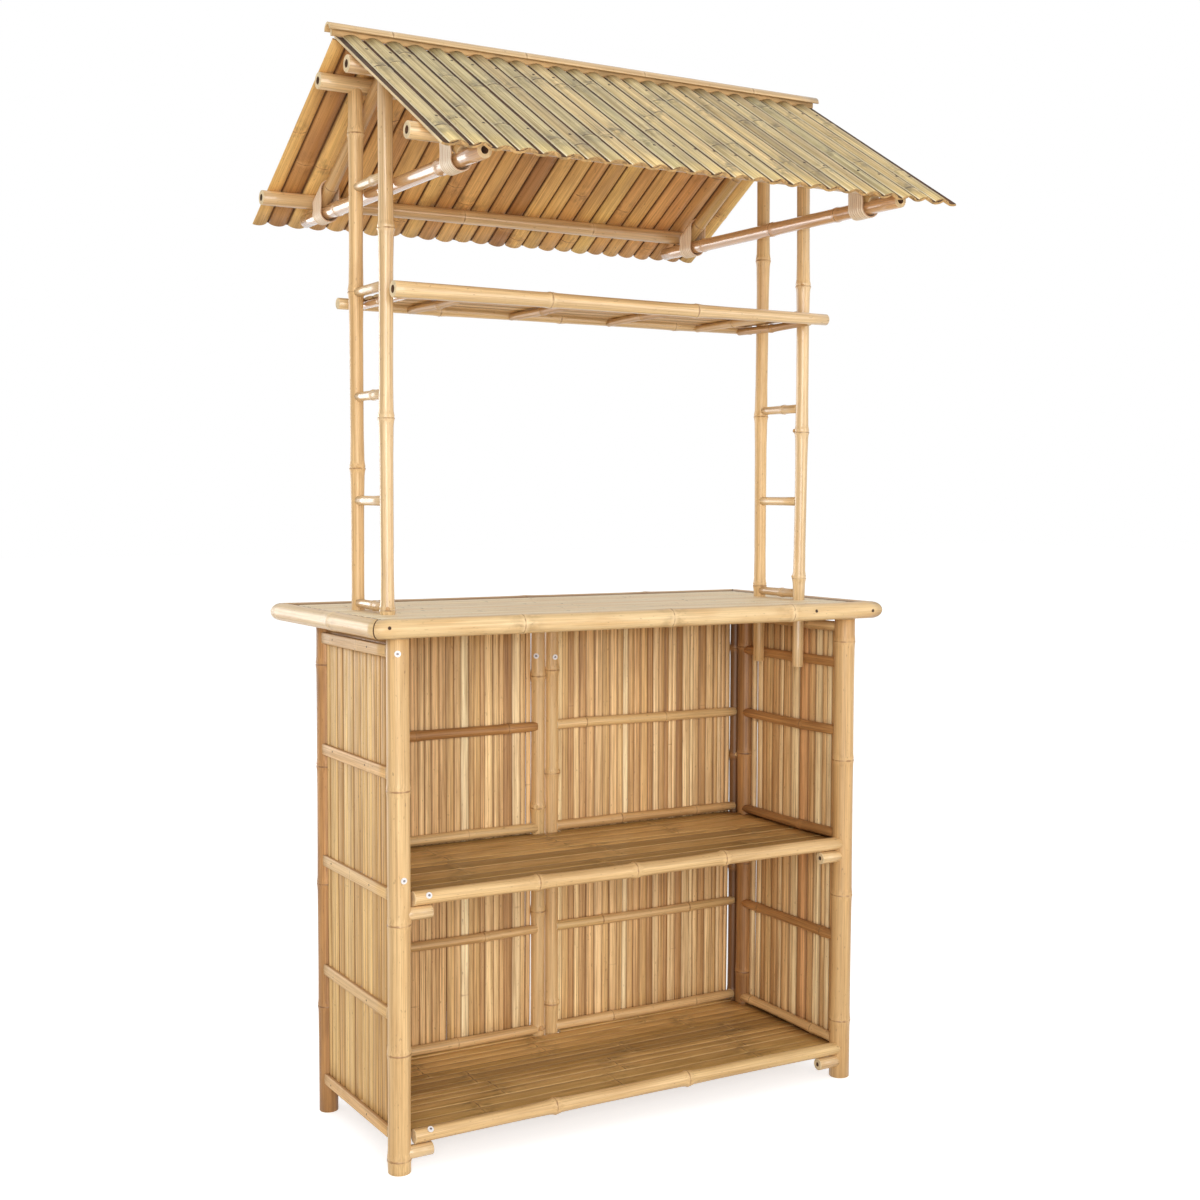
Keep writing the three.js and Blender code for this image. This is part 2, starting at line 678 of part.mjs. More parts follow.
// Section across the tiles. X runs along the ridge and Y rises square to the slope, from the lowest line
// of the split culms that lie hollow side up. The outermost of these are narrow on their outer sides.
function tileSection() {
  const section = new THREE.Shape();
  const panX = (tile) => (tile - (tileCount - 1) / 2) * tilePitch;
  const halfPan = panWidth / 2;
  const flankY = panRise * panFlankShare ** 2;
  const hollowX = (tilePitch / 2) * (1 - hollowShare);
  const hollowY = panRise * hollowFootShare;
  section.moveTo(panX(0) - vergeReach, panRise);
  for (let tile = 0; tile < tileCount; tile += 1) {
    const x = panX(tile);
    const left = tile > 0 ? halfPan : vergeReach;
    const right = tile < tileCount - 1 ? halfPan : vergeReach;
    section.lineTo(x - left * panFlankShare, flankY);
    section.lineTo(x, 0);
    section.lineTo(x + right * panFlankShare, flankY);
    section.lineTo(x + right, panRise);
    if (tile < tileCount - 1) {
      section.lineTo(x + hollowX, hollowY);
      section.lineTo(x + tilePitch / 2, tileCrown - tileWall);
      section.lineTo(x + tilePitch - hollowX, hollowY);
      section.lineTo(x + tilePitch - halfPan, panRise);
    }
  }
  section.lineTo(panX(tileCount - 1) + vergeReach, panRise + tileWall);
  for (let tile = tileCount - 1; tile > 0; tile -= 1) {
    const middle = panX(tile) - tilePitch / 2;
    for (let step = 0; step <= capSteps; step += 1) {
      const angle = (step / capSteps) * Math.PI;
      section.lineTo(middle + (capWidth / 2) * Math.cos(angle), tileWall + capRise * Math.sin(angle));
    }
  }
  section.lineTo(panX(0) - vergeReach, panRise + tileWall);
  section.closePath();
  return section;
}

for (const { slope, sign } of bothSlopes) {
  const tiles = extruded(tileSection(), slopeLength - seat).translate(0, 0, seat);
  const axes = [
    new THREE.Vector3(-sign, 0, 0),
    new THREE.Vector3(0, sign * slopeSin, slopeCos),
    new THREE.Vector3(0, sign * slopeCos, -slopeSin),
  ];
  tiles.applyMatrix4(new THREE.Matrix4().makeBasis(...axes));
  place(hut, `roof_slope_${slope}`, tiles, "tile", 0, 0, ridgeHeight);
}

// Ridge cap: a half culm that lies astride the crowns of the tiles

const ridgeCapBore = ridgeCapRadius - ridgeCapWall;

function ridgeCap() {
  const outline = new THREE.Shape();
  outline.absarc(0, 0, ridgeCapRadius, 0, Math.PI);
  outline.absarc(0, 0, ridgeCapBore, Math.PI, 0, true);
  outline.closePath();
  const half = extruded(outline, ridgeCapLength, thinSides / 2);
  return half.applyMatrix4(sectionAlongX).translate(-ridgeCapLength / 2, 0, 0);
}

const ridgeCapHeight = ridgeHeight + tileCrown / slopeCos - ridgeCapBore * slopeRise + seat;
place(hut, "ridge_cap", ridgeCap(), "tile", 0, 0, ridgeCapHeight);

// Purlins, their nodes planed flush where the tiles lie on them

const lowerPurlinSizes = {
  length: lowerPurlinLeft + lowerPurlinRight,
  butt: lowerPurlinRadius,
  rings: purlinRingShares,
};
const purlins = [
  { name: "upper", sizes: upperPurlinSizes, left: upperPurlinLength / 2, reach: ladderHalf },
  { name: "lower", sizes: lowerPurlinSizes, left: lowerPurlinLeft, reach: lowerPurlinReach },
];

for (const { name, sizes, left, reach } of purlins) {
  const height = purlinHeight(reach, sizes.butt);
  for (const { slope, sign } of bothSlopes) {
    const culmBody = solidOf(alongX(culm({ ...sizes, buttBore: true })));
    const planed = boxBetween(
      new THREE.Vector3(-overrun, -sizes.butt, sizes.butt),
      new THREE.Vector3(sizes.length + overrun, sizes.butt, sizes.butt + overrun),
    ).rotateX(-sign * roofAngle);
    const body = geometryOf(culmBody.subtract(solidOf(planed)));
    place(hut, `purlin_${name}_${slope}`, body, "pale", -left, sign * reach, height);
  }
}

// Trusses: a tie under the lower purlins and two rafters that are mitred at the ridge, notched under the
// upper purlins and cut to sit on the tie

const tieSizes = { length: tieLength, butt: tieRadius, rings: tieRingShares };
const layTie = (geometry) => alongY(geometry).translate(0, -tieLength / 2, tieHeight);

function rafter(sign) {
  const length = rafterReach / slopeCos;
  const sizes = { length: length + overrun, butt: rafterRadius, rings: rafterRingShares };
  const body = culm({ ...sizes, sides: thinSides });
  body.translate(0, 0, -overrun).rotateX(-sign * (Math.PI / 2 + roofAngle));
  body.translate(0, 0, rafterHeightAt(0));
  const purlin = alongX(cope(upperPurlinSizes));
  purlin.translate(-upperPurlinLength / 2, sign * ladderHalf, upperPurlinHeight);
  const reach = rafterRadius + overrun; // clears the rafter all round
  const otherSide = boxBetween(
    new THREE.Vector3(-reach, -reach, rafterHeightAt(0) - 2 * reach),
    new THREE.Vector3(reach, seat / 2, rafterHeightAt(0) + 2 * reach),
  );
  if (sign < 0) otherSide.rotateZ(Math.PI);
  const tools = [purlin, layTie(cope(tieSizes)), otherSide].map(solidOf);
  return geometryOf(cut(solidOf(body), tools));
}

for (const { side, sign } of bothSides) {
  const tie = layTie(culm({ ...tieSizes, buttBore: true, tipBore: true }));
  place(hut, `tie_${side}`, tie, "straw", sign * tieX);
  for (const { slope, sign: along } of bothSlopes) {
    place(hut, `rafter_${slope}_${side}`, rafter(along), "straw", sign * tieX);
  }
}

// Lashings: cane wound round the tie and the foot of a rafter in one strand

const wrapRadius = tieRadius + strandClearance + strandRadius;

// The strand's middle line. Each loop passes under the tie, up the outer side, over the rafter and down
// the inner side, and both ends lie on the straight outer side.
class LashingPath extends THREE.Curve {
  constructor(sign) {
    super();
    this.sign = sign;
  }

  getPoint(t, target = new THREE.Vector3()) {
    const turn = t * lashingLoops;
    const reach = lashingMiddle + (turn - lashingLoops / 2) * strandPitch;
    const top = rafterHeightAt(reach);
    const side = top - tieHeight;
    const crown = (rafterRadius + strandClearance + strandRadius) / slopeCos;
    const arc = Math.PI * wrapRadius;
    const travelled = (turn % 1) * (2 * side + 2 * arc);
    const overStart = side / 2;
    const downStart = overStart + arc;
    const underStart = downStart + side;
    const upStart = underStart + arc;
    let x = wrapRadius;
    let z = tieHeight + side / 2 + travelled;
    if (travelled > upStart) {
      z = tieHeight + travelled - upStart;
    } else if (travelled > underStart) {
      const angle = Math.PI + (travelled - underStart) / wrapRadius;
      x = wrapRadius * Math.cos(angle);
      z = tieHeight + wrapRadius * Math.sin(angle);
    } else if (travelled > downStart) {
      x = -wrapRadius;
      z = top - (travelled - downStart);
    } else if (travelled > overStart) {
      const angle = (travelled - overStart) / wrapRadius;
      x = wrapRadius * Math.cos(angle);
      z = top + crown * Math.sin(angle);
    }
    return target.set(x, this.sign * reach, z);
  }
}

function leastGap(path) {
  const perLoop = 4 * loopSteps;
  const points = path.getSpacedPoints(lashingLoops * perLoop);
  let least = Infinity;
  points.forEach((point, index) => {
    for (const other of points.slice(index + perLoop / 2)) {
      least = Math.min(least, point.distanceTo(other) - 2 * strandRadius);
    }
  });
  return least;
}

for (const { slope, sign: along } of bothSlopes) {
  const path = new LashingPath(along);
  console.log(`lashing, ${slope}: least gap between its turns ${leastGap(path).toFixed(2)} mm`);
  const section = new THREE.Shape().absarc(0, 0, strandRadius, 0, 2 * Math.PI);
  const strand = new THREE.ExtrudeGeometry(section, {
    steps: lashingLoops * loopSteps,
    curveSegments: strandSides / 2,
    extrudePath: path,
  });
  for (const { side, sign } of bothSides) {
    place(hut, `lashing_${slope}_${side}`, strand.clone(), "cane", sign * tieX);
  }
}

export default hut;
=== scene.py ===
"""A bamboo bar hut: every culm, slat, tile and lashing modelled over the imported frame.

Metres, in the frame's own axes: X along the bar, -Y the keeper's open side, +Z up.
"""

import math

import bpy
import numpy as np
from mathutils import Matrix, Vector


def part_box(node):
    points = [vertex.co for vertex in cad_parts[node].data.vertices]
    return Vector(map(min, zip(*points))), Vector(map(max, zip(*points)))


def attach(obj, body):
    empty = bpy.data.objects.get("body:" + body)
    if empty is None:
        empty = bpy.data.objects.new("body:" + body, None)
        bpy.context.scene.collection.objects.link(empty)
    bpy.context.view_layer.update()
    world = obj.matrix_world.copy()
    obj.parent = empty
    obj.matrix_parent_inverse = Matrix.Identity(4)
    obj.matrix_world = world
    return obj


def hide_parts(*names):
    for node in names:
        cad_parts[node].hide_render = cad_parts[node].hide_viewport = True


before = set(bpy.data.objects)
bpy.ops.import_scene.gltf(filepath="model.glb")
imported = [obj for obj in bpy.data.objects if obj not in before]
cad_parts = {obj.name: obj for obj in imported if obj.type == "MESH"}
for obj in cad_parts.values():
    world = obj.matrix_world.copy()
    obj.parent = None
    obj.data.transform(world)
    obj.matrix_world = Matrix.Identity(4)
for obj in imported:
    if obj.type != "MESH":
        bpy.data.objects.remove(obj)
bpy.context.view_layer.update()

# Camera

CAMERA_PLACE = (-1.7386, -3.0068, 1.2773)
CAMERA_YAW = math.radians(30.39)  # from +Y towards +X
CAMERA_PITCH = math.radians(3.65)  # looking down
CAMERA_ROLL = math.radians(0.22)
CAMERA_LENS, SENSOR = 49.45, 36.0  # millimetres

# Sizes that the boxes of the frame don't tell

SIDES = (("left", -1), ("right", 1))
SLOPES = (("front", -1), ("back", 1))
PANEL_X = 0.525
PANEL_BACK = 0.19924
FRONT_POST_Y, FRONT_POST_RADIUS = -0.198, 0.0225
REAR_POST_Y, REAR_POST_RADIUS = 0.168, 0.020
END_POST_X, END_POST_RADIUS = 0.515, 0.0125
MIDDLE_POST_X, MIDDLE_POST_RADIUS = 0.01755, 0.016
POST_HEIGHT = 1.0117
PEG_RADIUS, PEG_REACH = 0.013, 0.064
PEG_ROOT = 0.5  # where a peg begins in its post, as a share of the radius
RING_RISE = 0.0014  # how far a node stands out in the frame
SEAT = 0.0003  # gap between two pieces that touch
RAIL_RADIUS = 0.0115
RAIL_SETBACK = 0.0062
RAIL_LIFT = 0.010
RAIL_INSET = 0.4  # how far from the middle of a post a rail ends, as a share of the post's radius
RAIL_DROP = 0.0015  # a rail is a little thinner than in the frame, and still lies on the shelf
BATTEN_WIDTH = 0.023
BATTEN_MIDDLE = 0.0105  # outward of the panel's plane
BATTEN_THICKNESS = 0.009
SLAT_DEPTH = 0.0042  # outward of the panel's plane
SLAT_FOOT, SLAT_TOP = 0.0615, 0.9965
SLAT_SPREAD = 0.42  # how far the widths stray from the usual one, as a share
SLAT_NODE_CHANCE = 0.4
SLIT, SLIT_BOW = 0.0004, 0.0016  # width and bow of a gap between slats
POST_GAP = 0.001  # between the slats and a post
BATTEN_NAILS = (0.28, 0.84)  # places along a batten, as shares
BATTEN_NAIL_DEPTH = 0.44  # share of the batten's thickness, outward of its middle
COURSE_HEIGHTS = (0.073, 0.301, 0.529, 0.757, 0.985)
LADDER_RAIL = 0.916
LADDER_Y = 0.074
LADDER_BUTT, LADDER_TIP = 0.014, 0.016
RUNG_COUNT = 5
RUNG_RADIUS, RUNG_INSET = 0.0105, 0.008
RUNG_TAPER = (0.96, 0.9)  # shares of the radius
EDGE_RADIUS = 0.019
EDGE_HEIGHT = 1.031  # the middles of the counter's edge poles
EDGE_FRONT = -0.225  # the middle of the front one
FIELD_FRONT, FIELD_BACK, FIELD_REACH = -0.2021, 0.2711, 0.5511
FIELD_THICKNESS = 0.009
FIELD_SLAT, FIELD_SPREAD, FIELD_GAP = 0.0315, 0.12, 0.0012  # usual width, its spread and the gap
COUNTER_BATTENS = ((-0.525, 0.030), (0.0, 0.060), (0.525, 0.030))  # place and width
COUNTER_BATTEN_HEIGHT, COUNTER_BATTEN_THICKNESS = 1.0248, 0.0240
SHELF_POLE_Y, SHELF_POLE_RADIUS = -0.203, 0.015
SHELF_THICKNESS = 0.008
SHELF_SPREAD = 0.35
SHELF_UNEVENNESS = 0.0013  # how much lower than the others a strip can lie
SHELF_BATTEN_X = (-0.4158, 0.0, 0.4158)
SHELF_BATTEN = (0.026, 0.008)
SHELF_BATTEN_INSET = 0.008
SHELF_LAP = 0.0012  # how far the strips run on to meet the slats
SHELF_GROUP = 3  # strips that were split from one culm, so that their nodes lie in one line
RACK_FRONT, RACK_BACK = -0.1238, 0.1223
RACK_SLAT, RACK_SPREAD, RACK_GAP = 0.040, 0.15, 0.004
RACK_THICKNESS, RACK_DROP = 0.0055, 0.003  # of its strips, and their middle below the top
CROSS_FRONT, CROSS_BACK, CROSS_HEIGHT = -0.134, 0.130, 1.653
CROSS_RADIUS = 0.0085
CROSS_SPREADS = (-0.353, -0.120, 0.120, 0.353)
ROOF_ANGLE = math.radians(30.7)
RIDGE_HEIGHT = 2.140
ROOF_SIN, ROOF_COS, ROOF_TAN = math.sin(ROOF_ANGLE), math.cos(ROOF_ANGLE), math.tan(ROOF_ANGLE)
SLOPE_LENGTH = 0.480 / ROOF_COS
TILE_COUNT = 26
TILE_SPAN = 1.10866  # between the middles of the first and the last tile
VERGE_REACH = 0.012  # outer edge of an outermost tile from its middle
CAP_FOOT, CAP_RISE = 0.0058, 0.0062  # of a tile with its hollow side down
EAVE_STAGGER = 0.005
ARC_POINTS = 13
NAIL_ROWS = (0.086, 0.44)  # down the slope from the ridge
LATH_WIDTH = 0.008
LATH_LIFT = 0.004  # foot of the lath under the ridge cap, above the ridge's line
RIDGE_OUTER, RIDGE_BORE = 0.015, 0.0105
RIDGE_NODES = (0.13, 0.42, 0.70, 0.98)
PURLINS = {"upper": (0.017, LADDER_Y, 2.0759), "lower": (0.016, 0.377, 1.8972)}  # radius, reach and height
TIE_RADIUS = 0.015
RAFTER_RADIUS = 0.014
RAFTER_REACH, RAFTER_TOP = 0.352, 2.0858
LASHING_MIDDLE = 0.317
CANE_LOOPS, CANE_PITCH, CANE_STEPS = 7, 0.0068, 44  # steps are those of one loop
CANE_WIDTH, CANE_THICKNESS, CANE_POINTS = 0.0070, 0.0028, 12
CANE_CLEARANCE, CANE_PINCH = 0.0020, 0.0010  # off the culms, and inward between them
UP, DOWN = (0, 0, 1), (0, 0, -1)

# How culms and strips are drawn

BORE_SHARE, PEG_BORE_SHARE = 0.48, 0.36
BORE_DEPTH = 0.03
ROUNDING = 0.0009
OVALNESS = 0.008  # of a culm's section
MITRE_REACH = 0.06
MITRE_CHAMFER = 0.0018
INNER_SHADE_START, INNER_SHADE_SPREAD = 0.25, 0.25  # where the painted shade, with some grime, begins on the inner side of the counter's edge poles
SLIMNESS = 0.0005  # how much thinner a culm is between its nodes
STEP = 0.06  # longest stretch between two rings
KNOT_REACH = 0.05  # distances to a node are told up to here
GRAIN_SPREAD = 5.0  # how far apart in the noise two culms can lie
STRIP_POINTS = 18
STUB_LIFT = 0.004

# How far a node stands out, by distance along the culm: a scar, a groove and a softer ridge
NODE_PROFILE = (
    (-0.015, 0.0), (-0.007, 0.25), (-0.003, 0.6), (-0.0012, 0.95), (0.0, 1.0),
    (0.0012, 0.45), (0.0026, 0.40), (0.0046, 0.75), (0.0085, 0.35), (0.016, 0.0),
)

# Small round pieces, as radii and heights from the face outward
NAIL_HEAD = ((0.0022, -0.001), (0.0022, 0.0004), (0.0014, 0.0008))
ROOF_NAIL = ((0.0030, -0.001), (0.0030, 0.0005), (0.0018, 0.0010))
WASHER = ((0.0062, -0.0006), (0.0062, 0.0008), (0.0058, 0.0012), (0.0030, 0.0012))
PLUG = ((0.0034, -0.0009), (0.0034, 0.0001), (0.0028, 0.0003))
SCREW = ((0.0023, 0.0006), (0.0023, 0.0018), (0.0016, 0.0024), (0.0008, 0.0026))

# Materials

TINT_WARMTH = 1.22
HALO_LIFT = 14  # how much paler than a culm the ring at its nodes is, of 255
SCAR = (138, 92, 50)
# The default rim colour: painted shade in the gaps between strips
GAP_SHADE = (92, 56, 28)
SPECK = (110, 76, 44)
FIBRE_DOT = (150, 105, 62)


def srgb(colour):
    """A colour given as 0 to 255, as the shaders want it."""
    share = np.array(colour) / 255
    linear = np.where(share <= 0.04045, share / 12.92, ((share + 0.055) / 1.055) ** 2.4)
    return (*linear.tolist(), 1.0)


def shaded(colour, share):
    """A colour at a share of its brightness."""
    return [value * share for value in colour]


def add(tree, kind, inputs=None, **settings):
    """A shader node with its settings made and its inputs set or linked."""
    made = tree.nodes.new(kind)
    for name, value in settings.items():
        setattr(made, name, value)
    for name, value in (inputs or {}).items():
        socket = made.inputs[name]
        if isinstance(value, bpy.types.NodeSocket):
            tree.links.new(value, socket)
        else:
            socket.default_value = value
    return made


def ramp(tree, factor, stops):
    """A colour ramp with the given (place, colour) stops."""
    made = add(tree, "ShaderNodeValToRGB", {"Fac": factor})
    elements = made.color_ramp.elements
    while len(elements) < len(stops):
        elements.new(0.5)
    for element, (place, colour) in zip(elements, stops):
        element.position = place
        element.color = colour
    return made.outputs["Color"]


def span(tree, value, low, high, out_low=0.0, out_high=1.0):
    """A value moved from one range to another and held inside it."""
    inputs = {"Value": value, "From Min": low, "From Max": high, "To Min": out_low, "To Max": out_high}
    return add(tree, "ShaderNodeMapRange", inputs, clamp=True).outputs["Result"]


def joined(tree, operation, first, second):
    """Two values added, multiplied or compared."""
    return add(tree, "ShaderNodeMath", {0: first, 1: second}, operation=operation).outputs["Value"]


def blend(tree, kind, factor, below, above):
    """Two colours mixed in one of the blend types."""
    inputs = {0: factor, 6: below, 7: above}
    return add(tree, "ShaderNodeMix", inputs, data_type="RGBA", blend_type=kind, clamp_factor=True).outputs[2]


def noise(tree, place, across, along, detail=3.0, roughness=0.55):
    """Noise, 0 to 1, finer across the grain than along it."""
    inputs = {0: place, 1: (across, across, along)}
    scaled = add(tree, "ShaderNodeVectorMath", inputs, operation="MULTIPLY").outputs["Vector"]
    inputs = {"Vector": scaled, "Scale": 1.0, "Detail": detail, "Roughness": roughness}
    return add(tree, "ShaderNodeTexNoise", inputs).outputs["Fac"]


def named(tree, name, output="Fac"):
    """One of the values that the meshes carry."""
    return add(tree, "ShaderNodeAttribute", attribute_name=name, attribute_type="GEOMETRY").outputs[output]


def emptied(block):
    """The node tree of a material or a world, with nothing in it."""
    block.use_nodes = True
    block.node_tree.nodes.clear()
    return block.node_tree


def surface(tree, inputs):
    """The shader that a material shows."""
    shader = add(tree, "ShaderNodeBsdfPrincipled", inputs)
    add(tree, "ShaderNodeOutputMaterial", {"Surface": shader.outputs["BSDF"]})


def tint(tree, value, depth, lift, low):
    """A colour to multiply by: darker and warmer where a value is low, lighter where it is high."""
    dark = (1 - depth, 1 - depth * TINT_WARMTH, 1 - depth * TINT_WARMTH**2, 1)
    light = (1 + lift, 1 + lift, 1 + lift, 1)
    return ramp(tree, value, [(low, dark), (0.5, (1, 1, 1, 1)), (1 - low, light)])


def bamboo(name, tones, stain, stripe=0.12, streak=0.16, fibre=0.14, blotch=0.4, line=0.75, band=0.3,
           specks=0.4, gloss=0.42, scar=SCAR, smudge=0.0, edge=0.0, rim=GAP_SHADE, rim_start=0.62, bump=0.35,
           coat=0.0):
    """Bamboo skin or split wood: a tone for each culm, stripes and streaks, blotches, and marks at its nodes.

    stripe, streak and fibre are the strengths of what runs long with the grain, from broad to fine. line
    and band are those of the scar at a node and of the paler ring beside it, smudge that of the stain round
    a node, and edge that of the rim's colour along the edges of a strip, or on the inner side of a mitred
    culm: a dark rim colour is painted shade in the gaps there, a pale one a painted highlight.
    """
    material = bpy.data.materials.new(name)
    tree = emptied(material)
    place = named(tree, "grain", "Vector")
    colour = ramp(tree, named(tree, "tone"), [(share, srgb(value)) for share, value in tones])

    def under(amount, above):
        """The colour so far with another one laid over it."""
        return blend(tree, "MIX", amount, colour, srgb(above))

    colour = under(span(tree, noise(tree, place, 34.0, 6.0), 0.45, 0.72, 0.0, blotch), stain)
    drawn = []
    # Scales across and along, detail, roughness, strength, share of it that lightens, and start of the ramp
    for across, along, detail, roughness, depth, lift, low in (
        (150.0, 1.6, 2.0, 0.55, stripe, 0.8, 0.36),
        (420.0, 4.0, 3.0, 0.6, streak, 0.5, 0.36),
        (1500.0, 16.0, 2.0, 0.7, fibre, 0.6, 0.32),
    ):
        lines = noise(tree, place, across, along, detail, roughness)
        colour = blend(tree, "MULTIPLY", 1.0, colour, tint(tree, lines, depth, depth * lift, low))
        drawn.append(lines)
    streaks, fibres = drawn[1:]
    wobble = span(tree, noise(tree, place, 90.0, 0.0, 1.0), 0.3, 0.7, -0.0010, 0.0010)
    near = joined(tree, "ADD", named(tree, "knot"), wobble)
    if smudge:
        murk = span(tree, noise(tree, place, 70.0, 40.0), 0.42, 0.66, 0.0, smudge)
        amount = joined(tree, "MULTIPLY", span(tree, near, 0.004, 0.040, 1.0, 0.0), murk)
        colour = under(amount, shaded(stain, 0.72))
    paler = [min(255, value + HALO_LIFT) for value in tones[1][1]]
    colour = under(span(tree, near, 0.002, 0.010, band, 0.0), paler)
    broken = span(tree, noise(tree, place, 55.0, 4.0, 2.0), 0.38, 0.56, 0.35, 1.0)
    colour = under(joined(tree, "MULTIPLY", span(tree, near, 0.0005, 0.0021, line, 0.0), broken), scar)
    colour = under(span(tree, noise(tree, place, 230.0, 90.0, 1.0), 0.69, 0.78, 0.0, specks), SPECK)
    # Painted shade where the rim colour is dark, a painted highlight where it is pale, towards the rims
    if edge:
        colour = under(span(tree, named(tree, "edge"), rim_start, 1.0, 0.0, edge), rim)
    height = joined(tree, "ADD", fibres, streaks)
    relief = add(tree, "ShaderNodeBump", {"Height": height, "Strength": bump, "Distance": 0.0004})
    surface(tree, {
        "Base Color": colour,
        "Roughness": span(tree, streaks, 0.3, 0.7, gloss + 0.12, gloss - 0.04),
        "Coat Weight": coat,
        "Coat Roughness": 0.1,
        "Normal": relief.outputs["Normal"],
    })
    return material


def cut_wood(name, colour, depth):
    """Sawn ends: pale, with the dark dots of the fibre bundles."""
    material = bpy.data.materials.new(name)
    tree = emptied(material)
    place = named(tree, "grain", "Vector")
    dots = span(tree, noise(tree, place, 1400.0, 60.0, 2.0), 0.58, 0.72, 0.0, 0.35)
    clouds = span(tree, noise(tree, place, 90.0, 20.0, 2.0), 0.35, 0.7)
    mottled = blend(tree, "MIX", clouds, srgb(colour), srgb(shaded(colour, depth)))
    surface(tree, {"Base Color": blend(tree, "MIX", dots, mottled, srgb(FIBRE_DOT)), "Roughness": 0.75})
    return material


def metal(name, colour, roughness, metallic=1.0):
    """Plated steel, a little uneven."""
    material = bpy.data.materials.new(name)
    tree = emptied(material)
    patches = noise(tree, add(tree, "ShaderNodeTexCoord").outputs["Object"], 400.0, 400.0)
    worn = span(tree, patches, 0.35, 0.75, 0.0, 0.4)
    surface(tree, {
        "Base Color": blend(tree, "MIX", worn, srgb(colour), srgb(shaded(colour, 0.75))),
        "Roughness": span(tree, patches, 0.3, 0.7, roughness - 0.08, roughness + 0.1),
        "Metallic": metallic,
    })
    return material


